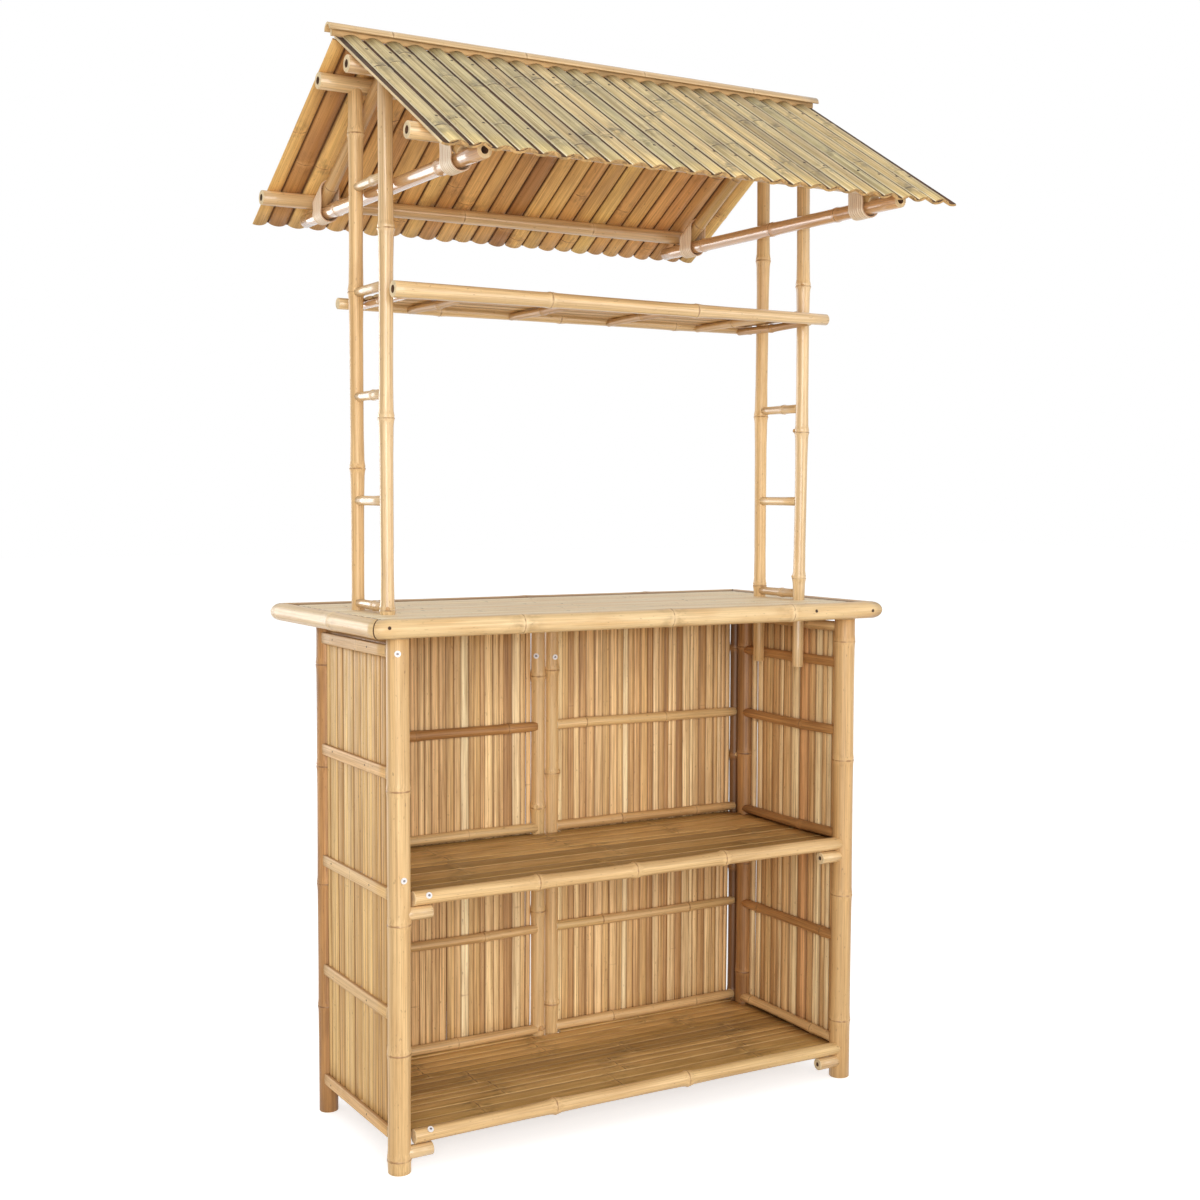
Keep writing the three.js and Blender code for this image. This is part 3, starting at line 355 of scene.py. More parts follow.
MATERIALS = {
    "straw": bamboo(
        "straw_skin",
        ((0.0, (196, 152, 98)), (0.35, (214, 176, 122)), (0.7, (225, 190, 137)), (1.0, (214, 180, 120))),
        stain=(188, 142, 84), gloss=0.36,
    ),
    "pale": bamboo(
        "pale_skin",
        ((0.0, (210, 176, 128)), (0.5, (227, 197, 149)), (1.0, (220, 185, 130))),
        stain=(200, 156, 100), gloss=0.3, stripe=0.18, blotch=0.35, coat=0.5,
    ),
    # The edge poles darken on their inner side in the rim colour: painted shade of the gap beside the field,
    # with some grime.
    "border": bamboo(
        "border_skin",
        ((0.0, (222, 190, 140)), (0.5, (236, 208, 160)), (1.0, (228, 196, 144))),
        stain=(206, 160, 100), gloss=0.36, stripe=0.07, streak=0.10, fibre=0.10, blotch=0.65, band=0.5,
        smudge=0.55, edge=0.8, rim=(124, 82, 44), rim_start=0.1, coat=0.1,
    ),
    # Darker browns, partly browner culms and partly painted shade; the darkest tones, used for the end posts,
    # are painted shade of the back corners.
    "aged_and_shaded": bamboo(
        "aged_and_shaded_skin",
        ((0.0, (112, 76, 42)), (0.3, (166, 120, 70)), (0.7, (196, 146, 90)), (1.0, (158, 116, 66))),
        stain=(128, 88, 50), streak=0.26, blotch=0.6, band=0.5, scar=(96, 62, 34),
    ),
    "polished": bamboo(
        "polished_skin",
        ((0.0, (214, 170, 122)), (0.5, (228, 188, 142)), (1.0, (236, 200, 154))),
        stain=(190, 138, 90), gloss=0.2, bump=0.06, coat=1.0,
    ),
    # Both slat materials darken towards the rims: painted shade in the gaps between the slats, and partly
    # their darker split edges.
    "slat_in": bamboo(
        "slat_inside",
        ((0.0, (182, 140, 90)), (0.12, (226, 186, 132)), (0.26, (214, 176, 118)), (0.42, (246, 214, 160)),
         (0.56, (228, 188, 132)), (0.70, (255, 236, 190)), (0.84, (242, 208, 152)), (0.94, (250, 226, 174)),
         (1.0, (218, 168, 116))),
        stain=(182, 136, 88), stripe=0.2, streak=0.34, fibre=0.24, gloss=0.5, edge=0.85, rim=(118, 76, 38),
        rim_start=0.6, line=0.4, band=0.1,
    ),
    "slat_out": bamboo(
        "slat_outside",
        ((0.0, (210, 166, 100)), (0.4, (224, 184, 120)), (0.75, (234, 198, 134)), (1.0, (214, 172, 106))),
        stain=(200, 154, 92), stripe=0.16, streak=0.34, fibre=0.24, gloss=0.5, edge=0.8, rim=(124, 84, 46),
        rim_start=0.7, line=0.3, band=0.1,
    ),
    # Darker rims: painted shade along the batten's edges, and partly their darker split edges.
    "batten": bamboo(
        "batten_skin",
        ((0.0, (222, 184, 130)), (0.5, (232, 198, 144)), (1.0, (224, 182, 126))),
        stain=(204, 160, 102), line=0.4, gloss=0.5, edge=0.6, rim=(150, 104, 62), rim_start=0.86,
    ),
    # The pale rims are a painted highlight where the strips' rounded edges catch the light.
    "shelf": bamboo(
        "shelf_slat",
        ((0.0, (164, 128, 74)), (0.3, (204, 164, 102)), (0.6, (224, 184, 118)), (1.0, (182, 144, 82))),
        stain=(160, 122, 62), stripe=0.10, streak=0.16, fibre=0.12, blotch=0.8, line=0.95, gloss=0.34,
        scar=(104, 68, 34), smudge=0.8, edge=0.95, rim=(238, 206, 146), rim_start=0.84,
    ),
    # Its rims darken in the default dark rim colour: painted shade in the gaps between the field's strips.
    "counter": bamboo(
        "counter_slat",
        ((0.0, (250, 228, 186)), (0.4, (255, 238, 200)), (0.8, (255, 241, 208)), (1.0, (248, 222, 174))),
        stain=(234, 200, 146), stripe=0.08, streak=0.14, blotch=0.35, gloss=0.5, edge=0.4, rim_start=0.8,
    ),
    # The cream rims are a painted highlight along the tiles' rounded edges.
    "roof": bamboo(
        "roof_skin",
        ((0.0, (178, 156, 108)), (0.2, (232, 204, 146)), (0.4, (190, 178, 130)), (0.6, (244, 214, 152)),
         (0.8, (206, 188, 134)), (1.0, (232, 196, 132))),
        stain=(154, 136, 92), stripe=0.18, streak=0.28, blotch=0.6, line=0.9, band=0.15, scar=(80, 62, 38),
        smudge=0.9, edge=1.0, rim=(255, 246, 214), rim_start=0.85, gloss=0.42,
    ),
    # Its rims darken in the default dark rim colour: painted shade in the gaps between the pans.
    "under": bamboo(
        "roof_underside",
        ((0.0, (188, 136, 78)), (0.2, (232, 180, 112)), (0.4, (250, 208, 132)), (0.6, (216, 162, 100)),
         (0.8, (255, 218, 138)), (1.0, (238, 178, 114))),
        stain=(172, 120, 74), stripe=0.08, streak=0.16, blotch=0.5, gloss=0.5, smudge=0.6, edge=0.6,
        rim_start=0.86,
    ),
    # Darker rims: painted shade between the turns of the strand.
    "cane": bamboo(
        "cane_strand",
        ((0.0, (255, 240, 214)), (0.5, (255, 246, 226)), (1.0, (255, 236, 210))),
        stain=(250, 222, 192), stripe=0.06, streak=0.14, specks=0.0, gloss=0.36, edge=0.8,
        rim=(190, 146, 108), rim_start=0.5,
    ),
    "cut": cut_wood("cut_end", (240, 216, 172), 0.86),
    "eave": cut_wood("eave_end", (204, 164, 108), 0.66),
    "split": cut_wood("split_edge", (218, 178, 122), 0.82),
    "verge": cut_wood("verge_edge", (244, 220, 176), 0.86),
    # Dark brown for the walls and floors of bores, and in seams, gaps and hollows: painted shade.
    "bore": cut_wood("bore_painted_shade", (88, 58, 34), 0.6),
    # Dark for the hollow side of the roof's caps, which faces down into the pans: painted shade.
    "hollow": cut_wood("tile_hollow_painted_shade", (124, 86, 50), 0.7),
    "zinc": metal("zinc_washer", (240, 238, 238), 0.45, 0.1),
    "steel": metal("screw_steel", (136, 128, 130), 0.4),
    "nail": metal("nail_steel", (70, 52, 38), 0.5, 0.4),
}

# Mesh making


def draws(seed):
    """A source of random numbers that is the same on every run."""
    return np.random.default_rng(seed)


def put(name, data):
    """A new object in the scene."""
    thing = bpy.data.objects.new(name, data)
    bpy.context.scene.collection.objects.link(thing)
    return thing


class Piece:
    """Points and faces of one piece, with what the materials read at each point.

    grain is a place within the culm (across, across, along), tone a random value that is the same all over a
    culm or slat, knot the distance along it to the nearest node, and edge how near a point is to a rim, or
    how
    far a mitred culm faces inward: the materials paint shade or a highlight there.
    """

    def __init__(self):
        self.points = []
        self.faces = []
        self.finishes = []
        self.smooth = []
        self.grain = []
        self.values = {"tone": [], "knot": [], "edge": []}
        self.count = 0

    def sweep(self, rings, grain, finishes, caps, tone, knot=KNOT_REACH, edge=0.0, smooth=True):
        """Joins rings of points, of equal counts, into a closed skin with a flat cap at each end.

        finishes and smooth are one for all, a row with one for each side, or a column with one for each
        stretch between two rings. caps has the finishes of the two ends.
        """
        rings = np.asarray(rings, float)
        count, sides = rings.shape[:2]
        self.points.append(rings.reshape(-1, 3))
        self.grain.append(np.asarray(grain, float).reshape(-1, 3))
        read = {"tone": np.reshape(tone, (-1, 1)), "knot": np.reshape(knot, (-1, 1)), "edge": edge}
        for label, values in read.items():
            self.values[label].append(np.broadcast_to(values, (count, sides)).ravel())
        here = np.arange(sides)
        starts = self.count + sides * np.arange(count - 1)[:, None]
        low, beyond = starts + here, starts + (here + 1) % sides
        quads = np.stack([low, beyond, beyond + sides, low + sides], axis=-1)
        self.faces.extend(quads.reshape(-1, 4).tolist())
        self.faces.append((self.count + here[::-1]).tolist())
        self.faces.append((self.count + (count - 1) * sides + here).tolist())
        for store, told, last in ((self.finishes, finishes, caps), (self.smooth, smooth, (False, False))):
            store.extend(np.broadcast_to(told, (count - 1, sides)).ravel().tolist())
            store.extend(last)
        self.count += count * sides

    def make(self, kind, node=None):
        """The piece as an object that rides on the hut and stands for a node."""
        name = f"{node}_{kind}" if node else kind
        mesh = bpy.data.meshes.new(name)
        mesh.from_pydata(np.concatenate(self.points).tolist(), [], self.faces)
        used = sorted(set(self.finishes))
        for finish in used:
            mesh.materials.append(MATERIALS[finish])
        indices = np.array([used.index(finish) for finish in self.finishes], np.int32)
        mesh.polygons.foreach_set("material_index", indices)
        mesh.polygons.foreach_set("use_smooth", np.array(self.smooth, bool))
        grain = mesh.attributes.new("grain", "FLOAT_VECTOR", "POINT")
        grain.data.foreach_set("vector", np.concatenate(self.grain).astype(np.float32).ravel())
        for label, values in self.values.items():
            attribute = mesh.attributes.new(label, "FLOAT", "POINT")
            attribute.data.foreach_set("value", np.concatenate(values).astype(np.float32))
        mesh.update()
        thing = put(name, mesh)
        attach(thing, "root")
        if node:
            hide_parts(node)


def unit(vector):
    """A vector at length one."""
    vector = np.asarray(vector, float)
    return vector / np.linalg.norm(vector)


def square_to(direction):
    """Two directions at right angles to one and to each other."""
    u = unit(np.cross(UP if abs(direction[2]) < 0.9 else (0, 1, 0), direction))
    return u, np.cross(direction, u)


def course(start, end):
    """A line's start, length and direction."""
    start, end = np.asarray(start, float), np.asarray(end, float)
    length = np.linalg.norm(end - start)
    return start, length, (end - start) / length


def stacked(x, y, z):
    """Coordinates put together as points."""
    return np.stack(np.broadcast_arrays(x, y, z), axis=-1)


def turns(count, shift=0.0):
    """Angles evenly round a circle."""
    return (np.arange(count) + shift) * 2 * math.pi / count


def grained(x, y, along, rng):
    """Places within a culm or strip, set apart from those of the others."""
    return stacked(x, y, along) + rng.uniform(0, GRAIN_SPREAD, 3)


def outline(points, half_width, half_height, power_x, power_y):
    """Angles round a rectangle with rounded corners, and the points there."""
    angle = turns(points, 0.5)
    cos, sin = np.cos(angle), np.sin(angle)
    x = half_width * np.sign(cos) * np.abs(cos) ** power_x
    return angle, x, half_height * np.sign(sin) * np.abs(sin) ** power_y


def stations(length, nodes, rise, marks=()):
    """Places along a culm or strip, how far it swells at each, and how far the nearest node is."""
    places = {place: 0.0 for place in (0.0, length, *marks)}
    for node in nodes:
        for offset, share in NODE_PROFILE:
            place = node + offset
            if 0.001 < place < length - 0.001:
                places[place] = rise * share
    found = sorted(places)
    for low, high in zip(found, found[1:]):
        parts = int((high - low) / STEP) + 1
        for part in range(1, parts):
            places[low + (high - low) * part / parts] = 0.0
    along = np.array(sorted(places))
    swell = np.array([places[place] for place in along])
    away = np.full(len(along), KNOT_REACH)
    for node in nodes:
        away = np.minimum(away, np.abs(along - node))
    return along, swell, away


def scatter(length, rng, spacing=0.27, margin=0.03):
    """Places of nodes along a length, about a spacing apart."""
    places = []
    place = rng.uniform(0.2, 0.9) * spacing
    while place < length - margin:
        if place > margin:
            places.append(place)
        place += spacing * rng.uniform(0.85, 1.15)
    return places


def culm(piece, start, end, radii, nodes, rng, bored=(False, False), bow=0.0012, sides=24,
         mitre=None, finish="straw", tone=None, rise=RING_RISE, slim=SLIMNESS, bore=BORE_SHARE):
    """A culm from start to end, a little crooked at its nodes, with a cut end or a bore with a rim at each.

    radii is its radius, or those of its butt and tip, and mitre is a unit vector towards the
    inside of a frame whose corners the two ends are cut for. A mitred culm carries painted shade on its
    inner side, and the chamfers of its mitres take the dark bore colour as painted shade in the seams.
    """
    start, length, direction = course(start, end)
    u, v = square_to(direction)
    nodes = sorted(nodes)
    marks = (MITRE_REACH, length - MITRE_REACH) if mitre is not None else ()
    along, swell, away = stations(length, nodes, rise, marks)
    radius = np.interp(along, [0, length], np.broadcast_to(radii, 2)) + swell
    if nodes:
        radius = radius - slim * away / KNOT_REACH
    rounding = ROUNDING if mitre is None else MITRE_CHAMFER
    along[[0, -1]] = rounding, length - rounding
    # A mitre's chamfer takes the dark bore colour: painted shade in the seam between two edge poles.
    sawn = "cut" if mitre is None else "bore"
    before, after = [(0.0, radius[0] - rounding)], [(length, radius[-1] - rounding)]
    first, last = [sawn], [sawn]
    # A bore takes the dark bore colour on its wall and floor: painted shade inside the hole.
    if bored[0]:
        before = [(BORE_DEPTH, radius[0] * bore), (0.0, radius[0] * bore)] + before
        first = ["bore", "cut", "cut"]
    if bored[1]:
        after = after + [(length, radius[-1] * bore), (length - BORE_DEPTH, radius[-1] * bore)]
        last = ["cut", "cut", "bore"]
    places, sizes = np.concatenate([before, np.stack([along, radius], axis=1), after]).T
    knot = np.pad(away, (len(before), len(after)), constant_values=KNOT_REACH)
    finishes = np.array(first + [finish] * (len(along) - 1) + last)[:, None]
    angle = turns(sides)
    turn = rng.uniform(0, 2 * math.pi, 5)
    shape = 1 + OVALNESS * np.cos(2 * (angle - turn[0])) - OVALNESS
    spread = math.pi * places / length
    drift = np.sin(spread) + 0.4 * np.sin(2 * spread + turn[2]) * np.sin(spread)
    sway = bow * np.outer(drift, u * math.cos(turn[3]) + v * math.sin(turn[3]))
    joints = [0.0, *nodes, length]
    kinks = rng.uniform(-bow, bow, (2, len(joints))) * 0.8
    kinks[:, [0, -1]] = 0.0
    for kink, way in zip(kinks, (u, v)):
        sway = sway + np.outer(np.interp(places, joints, kink), way)
    x = sizes[:, None] * (shape * np.cos(angle))
    y = sizes[:, None] * (shape * np.sin(angle))
    lie = np.broadcast_to(places[:, None], x.shape)
    inner = 0.0
    if mitre is not None:
        # Painted shade on the side that faces into the frame, towards the field
        facing = np.cos(angle) * np.dot(u, mitre) + np.sin(angle) * np.dot(v, mitre)
        inner = np.clip((facing - INNER_SHADE_START) / INNER_SHADE_SPREAD, 0, 1)
        cut = EDGE_RADIUS + x * np.dot(u, mitre) + y * np.dot(v, mitre)
        near_start = cut + lie * (1 - cut / MITRE_REACH)
        near_end = length - cut - (length - lie) * (1 - cut / MITRE_REACH)
        lie = np.where(lie < MITRE_REACH, near_start, np.where(lie > length - MITRE_REACH, near_end, lie))
    rings = (start + sway)[:, None, :] + x[..., None] * u + y[..., None] * v + lie[..., None] * direction
    grain = grained(x, y, lie, rng)
    tone = rng.uniform() if tone is None else tone
    tones = np.clip(tone + rng.uniform(-0.14, 0.14, len(nodes) + 1), 0, 1)
    caps = ["bore" if hollow else "cut" for hollow in bored]
    tones = tones[np.searchsorted(nodes, places)]
    piece.sweep(rings, grain, finishes, caps, tones, knot, inner, finishes != "cut")


def pole(node, start, end, radii, nodes, rng, slot="straw_culm", **looks):
    """A culm that stands for a node by itself."""
    piece = Piece()
    culm(piece, start, end, radii, nodes, rng, **looks)
    piece.make("bamboo", node)


def strip(piece, start, end, face, size, rng, skin, back, nodes=(), rise=0.0005, bow=0.001, twist=0.0,
          crown=0.3, belly=0.0, tone=None, power=4.0, ends="cut", rims=1.0):
    """A split strip from start to end, of a width and a thickness, with its skin towards face.

    crown and belly are how far its skin and its back curve, power how square its edges are, and rims how
    strong the colour of its rims is: the painted shade or highlight along them.
    """
    start, length, direction = course(start, end)
    out = np.asarray(face, float)
    out = unit(out - direction * np.dot(out, direction))
    side = np.cross(out, direction)
    along, swell, away = stations(length, nodes, rise)
    width, thickness = size
    angle, x, y = outline(STRIP_POINTS, width / 2, thickness / 2, 2 / power, 2 / power)
    rim = np.abs(2 * x / width)
    y = y * (1 - np.where(y > 0, crown, belly) * rim**2)
    share = along / length
    turn = rng.uniform(-1, 1, 4)
    sway = bow * np.sin(math.pi * share * (1.3 + 0.5 * turn[0]) + turn[1])
    lean = (twist * turn[2] * (share - 0.5))[:, None]
    x = x * (1 + swell[:, None] / width)
    y = np.where(y > 0, y + swell[:, None], y)
    turned_x = x * np.cos(lean) - y * np.sin(lean)
    turned_y = x * np.sin(lean) + y * np.cos(lean)
    centre = start + along[:, None] * direction + sway[:, None] * side
    rings = centre[:, None, :] + turned_x[..., None] * side + turned_y[..., None] * out
    grain = grained(x, y, along[:, None], rng)
    middle = (angle + math.pi / STRIP_POINTS) % (2 * math.pi)
    faces = np.where((middle > 0) & (middle < math.pi), skin, back)
    tone = rng.uniform() if tone is None else tone
    piece.sweep(rings, grain, faces, (ends, ends), tone, away, rim * rims)


def button(piece, place, normal, profile, finish, rng, sides=14):
    """A small round piece on a face, of a profile of radii and heights."""
    place, normal = np.asarray(place, float), unit(normal)
    u, v = square_to(normal)
    angle = turns(sides)
    circle = np.cos(angle)[:, None] * u + np.sin(angle)[:, None] * v
    rings = np.array([place + radius * circle + height * normal for radius, height in profile])
    piece.sweep(rings, rings, finish, (finish, finish), rng.uniform(), smooth=False)


def stub(piece, node, radius, normal, rng, size=0.0045, reach=0.003):
    """The trimmed base of a branch above a node of a culm of a radius."""
    normal = np.array(normal)
    profile = ((size * 1.7, -0.002), (size * 1.25, reach * 0.5), (size, reach), (size * 0.55, reach * 0.95))
    place = node + radius * normal * (1, 1, 0) + (0, 0, STUB_LIFT)
    button(piece, place, normal, profile, "straw", rng, sides=12)


def widths(total, typical, spread, rng):
    """Random widths, about a typical one, that fill a total."""
    count = max(1, round(total / typical))
    sizes = rng.uniform(1 - spread, 1 + spread, count)
    return sizes / sizes.sum() * total


def lanes(low, sizes):
    """The middle and the width of each of the strips that lie side by side from low on."""
    for width in sizes:
        yield low + width / 2, width
        low += width


def line_of(node, axis):
    """The middles of a node's two end faces along an axis, 0 to 2."""
    low, high = (np.array(corner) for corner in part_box(node))
    start = (low + high) / 2
    end = start.copy()
    start[axis] = low[axis]
    end[axis] = high[axis]
    return start, end


def parted(shares, start, end):
    """Places of nodes that lie at shares of the way from start to end."""
    return [share * np.linalg.norm(end - start) for share in shares]


# Posts and pegs

POST_TONES = {"left": 0.62, "right": 0.25}
POST_NODES = {
    "front_left": (0.026, 0.228, 0.4745, 0.7267),
    "front_right": (0.127, 0.4056, 0.703, 0.962),
    "rear_left": (0.222, 0.478, 0.721, 0.930),
    "rear_right": (0.142, 0.405, 0.668, 0.921),
}
# The rear posts here and the end posts below are darker brown: browner culms, darkened further as painted
# shade.
# Place, depth, radius, finish, and the depth and heights of the pegs
PEGGED_POSTS = (
    ("front", FRONT_POST_Y, FRONT_POST_RADIUS, "straw", FRONT_POST_Y - 0.005, (0.0367, 0.4927)),
    ("rear", REAR_POST_Y, REAR_POST_RADIUS, "aged_and_shaded", REAR_POST_Y, (0.0499, 0.5059)),
)
# Place, distance from the middle, radius, finish and tone
BACK_POSTS = (
    ("end", END_POST_X, END_POST_RADIUS, "aged_and_shaded", 0.0),
    ("middle", MIDDLE_POST_X, MIDDLE_POST_RADIUS, "straw", 0.7),
)


def posts():
    """The four pegged posts and the four thin ones of the back panels."""
    rng = draws(11)
    for side, sign in SIDES:
        for place, y, radius, finish, peg_y, heights in PEGGED_POSTS:
            piece = Piece()
            foot = np.array((sign * PANEL_X, y, 0.0))
            culm(piece, foot, foot + (0, 0, POST_HEIGHT), radius, POST_NODES[f"{place}_{side}"], rng,
                 bow=0.0006, tone=POST_TONES[side], finish=finish)
            for height in heights:
                reaches = (PANEL_X - radius * PEG_ROOT, PANEL_X - PEG_REACH)
                start, end = ((sign * reach, peg_y, height) for reach in reaches)
                culm(piece, start, end, PEG_RADIUS, [], rng, bored=(False, True), bow=0, finish="pale",
                     bore=PEG_BORE_SHARE)
            piece.make("bamboo", f"post_{place}_{side}")
        for place, x, radius, finish, tone in BACK_POSTS:
            piece = Piece()
            nodes = scatter(POST_HEIGHT, rng)
            foot = np.array((sign * x, PANEL_BACK, 0.0))
            culm(piece, foot, foot + (0, 0, POST_HEIGHT), radius, nodes, rng, bow=0.0004, finish=finish,
                 tone=tone, rise=0.0020)
            for node in nodes[::2]:
                turn = rng.uniform(-1.1, 1.1)
                stub(piece, foot + (0, 0, node), radius, (math.sin(turn), -math.cos(turn), 0.25), rng)
            piece.make("bamboo", f"post_back_{place}_{side}")


# Panels of upright slats between rails and battens

SIDE_SLAT, BACK_SLAT = 0.0235, 0.0158  # usual widths
# Rows of rails drawn darker brown: browner culms, and painted shade where they lie in shadow.
SIDE_BROWN = {"left": (1, 2), "right": (1, 2, 3, 5)}
BACK_BROWN = {"left": (3,), "right": ()}
SIDE_SLITS = {"left": (), "right": (2,)}
BACK_SLITS = (1,)
FRONT_LAP, REAR_LAP = -0.0035, 0.013


def panel(name, origin, along, out, first, last, heights, slat, laps, seed, brown, slits):
    """Upright slats from one post to another, with round rails inside and nailed battens outside.

    first and last are the posts' places along the panel and their radii, heights are those of the rails,
    slat is the slats' usual width, and laps tells how far the battens run on past the edges of the two
    posts. brown gives the rows of the darker rails, browner culms darkened further as painted shade, and
    slits the slats, counted back from the last, that leave a gap.
    """
    rng = draws(seed)
    piece = Piece()
    origin, along, out = (np.asarray(vector, float) for vector in (origin, along, out))

    def at(across, depth, height):
        return origin + along * across + out * depth + np.array((0, 0, height))

    def between(insets, depth, height, slope):
        """Two places, inset from the middles of the posts, on a line that is not quite level."""
        ends = (first[0] + insets[0], last[0] - insets[1])
        return [at(across, depth, height + rng.uniform(-slope, slope)) for across in ends]

    low = first[0] + first[1] + POST_GAP
    high = last[0] - last[1] - POST_GAP
    sizes = widths(high - low, slat, SLAT_SPREAD, rng)
    for index, (centre, width) in enumerate(lanes(low, sizes)):
        depth = SLAT_DEPTH + rng.uniform(-0.0008, 0.0008)
        shift = rng.uniform(-0.0010, 0.0010)
        start = at(centre - shift, depth, SLAT_FOOT + rng.uniform(0, 0.006))
        end = at(centre + shift, depth, SLAT_TOP - rng.uniform(0, 0.005))
        size = (width + rng.uniform(0.0014, 0.0022), rng.uniform(0.0056, 0.0068))
        slit = len(sizes) - index in slits
        if slit:
            size = (width - SLIT, size[1])
        nodes = [rng.uniform(0.1, 0.85)] if rng.uniform() < SLAT_NODE_CHANCE else []
        strip(piece, start, end, out, size, rng, "slat_out", "slat_in", nodes,
              bow=SLIT_BOW if slit else 0.0005, twist=0.03, crown=0.25, belly=0.72, power=2.6, rise=0.0003)
    for row, height in enumerate(heights):
        insets = (first[1] * RAIL_INSET, last[1] * RAIL_INSET)
        start, end = between(insets, -RAIL_SETBACK, height + RAIL_LIFT - RAIL_DROP, 0.001)
        culm(piece, start, end, (RAIL_RADIUS, RAIL_RADIUS * rng.uniform(0.88, 0.98)),
             scatter(np.linalg.norm(end - start), rng, 0.23), rng, sides=18, rise=0.001,
             finish="aged_and_shaded" if row in brown else "straw", tone=rng.uniform(0.2, 0.8))
    for height in COURSE_HEIGHTS:
        start, end = between((first[1] - laps[0], last[1] - laps[1]), BATTEN_MIDDLE, height, 0.0015)
        strip(piece, start, end, out, (BATTEN_WIDTH, BATTEN_THICKNESS), rng, "batten", "batten",
              scatter(np.linalg.norm(end - start), rng, 0.3), bow=0.0002, crown=0.12, power=7.0)
        for share in BATTEN_NAILS:
            place = start + (end - start) * (share + rng.uniform(-0.04, 0.04))
            place = place + out * BATTEN_THICKNESS * BATTEN_NAIL_DEPTH
            place = place + (0, 0, rng.uniform(-0.003, 0.003))
            button(piece, place, out, NAIL_HEAD, "nail", rng, sides=10)
    piece.make("slats", name)


def panels():
    """The two side panels and the two halves of the back."""
    front = (FRONT_POST_Y, FRONT_POST_RADIUS)
    rear = (REAR_POST_Y, REAR_POST_RADIUS)
    rails = (*COURSE_HEIGHTS, LADDER_RAIL - RAIL_LIFT)
    for side, sign in SIDES:
        panel(f"infill_{side}", (sign * PANEL_X, 0, 0), (0, 1, 0), (sign, 0, 0), front, rear, rails,
              SIDE_SLAT, (FRONT_LAP, REAR_LAP), 21 + sign, SIDE_BROWN[side], SIDE_SLITS[side])
        ends = sorted(((sign * MIDDLE_POST_X, MIDDLE_POST_RADIUS), (sign * END_POST_X, END_POST_RADIUS)))
        panel(f"infill_back_{side}", (0, PANEL_BACK, 0), (1, 0, 0), (0, 1, 0), *ends, COURSE_HEIGHTS,
              BACK_SLAT, (FRONT_LAP, FRONT_LAP), 31 + sign, BACK_BROWN[side], BACK_SLITS)


# Counter


def counter():
    """Four mitred edge poles round a field of strips on battens."""
    rng = draws(41)
    low = (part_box("counter_edge_left")[0][0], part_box("counter_edge_front")[0][1])
    high = (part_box("counter_edge_right")[1][0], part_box("counter_edge_back")[1][1])
    for place, axis, inward, shares in (
        ("front", 0, 1, (0.263, 0.547, 0.801)),
        ("back", 0, -1, (0.22, 0.5, 0.77)),
        ("left", 1, 1, (0.42,)),
        ("right", 1, -1, (0.55,)),
    ):
        other = 1 - axis
        start = np.full(3, EDGE_HEIGHT)
        start[other] = (low if inward > 0 else high)[other] + inward * (EDGE_RADIUS + RING_RISE)
        end = start.copy()
        start[axis] = low[axis] + RING_RISE
        end[axis] = high[axis] - RING_RISE
        mitre = np.zeros(3)
        mitre[other] = inward
        pole(f"counter_edge_{place}", start, end, EDGE_RADIUS, parted(shares, start, end), rng, "pale_culm",
             bow=0.0003, mitre=mitre, finish="border", sides=28, rise=0.0009)
    board = Piece()
    low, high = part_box("counter_board")
    sizes = widths(FIELD_BACK - FIELD_FRONT, FIELD_SLAT, FIELD_SPREAD, rng)
    for y, width in lanes(FIELD_FRONT, sizes):
        place = (y, high[2] - FIELD_THICKNESS / 2)
        size = (width - FIELD_GAP, FIELD_THICKNESS)
        # The strips' ends take the dark bore colour: painted shade in the gaps against the edge poles.
        strip(board, (-FIELD_REACH, *place), (FIELD_REACH, *place), UP, size, rng, "counter", "split",
              scatter(2 * FIELD_REACH, rng, 0.33), rise=0.0002, bow=0.0003, crown=0.08, power=8.0,
              ends="bore")
    for x, width in COUNTER_BATTENS:
        start, end = ((x, y, COUNTER_BATTEN_HEIGHT) for y in (low[1] + 0.001, high[1] - 0.001))
        strip(board, start, end, DOWN, (width, COUNTER_BATTEN_THICKNESS), rng, "slat_out", "split",
              power=8.0, crown=0.05, bow=0.0)
    board.make("slats", "counter_board")


# Shelves

# Nodes of the pole as shares of its length, the strips' usual width and the gap between them
SHELVES = {"lower": ((0.30, 0.61), 0.029, 0.0016), "upper": ((0.26, 0.48, 0.695), 0.045, 0.0009)}


def shelf_runs(left, right, depth):
    """The stretches of a shelf's strip that the posts leave free."""
    if depth < FRONT_POST_Y + FRONT_POST_RADIUS or depth > REAR_POST_Y - REAR_POST_RADIUS:
        left, right = left + FRONT_POST_RADIUS, right - FRONT_POST_RADIUS
    if depth > PANEL_BACK - MIDDLE_POST_RADIUS:
        notch = MIDDLE_POST_X + MIDDLE_POST_RADIUS + RING_RISE + SEAT
        return (left, -notch), (notch, right)
    return ((left, right),)


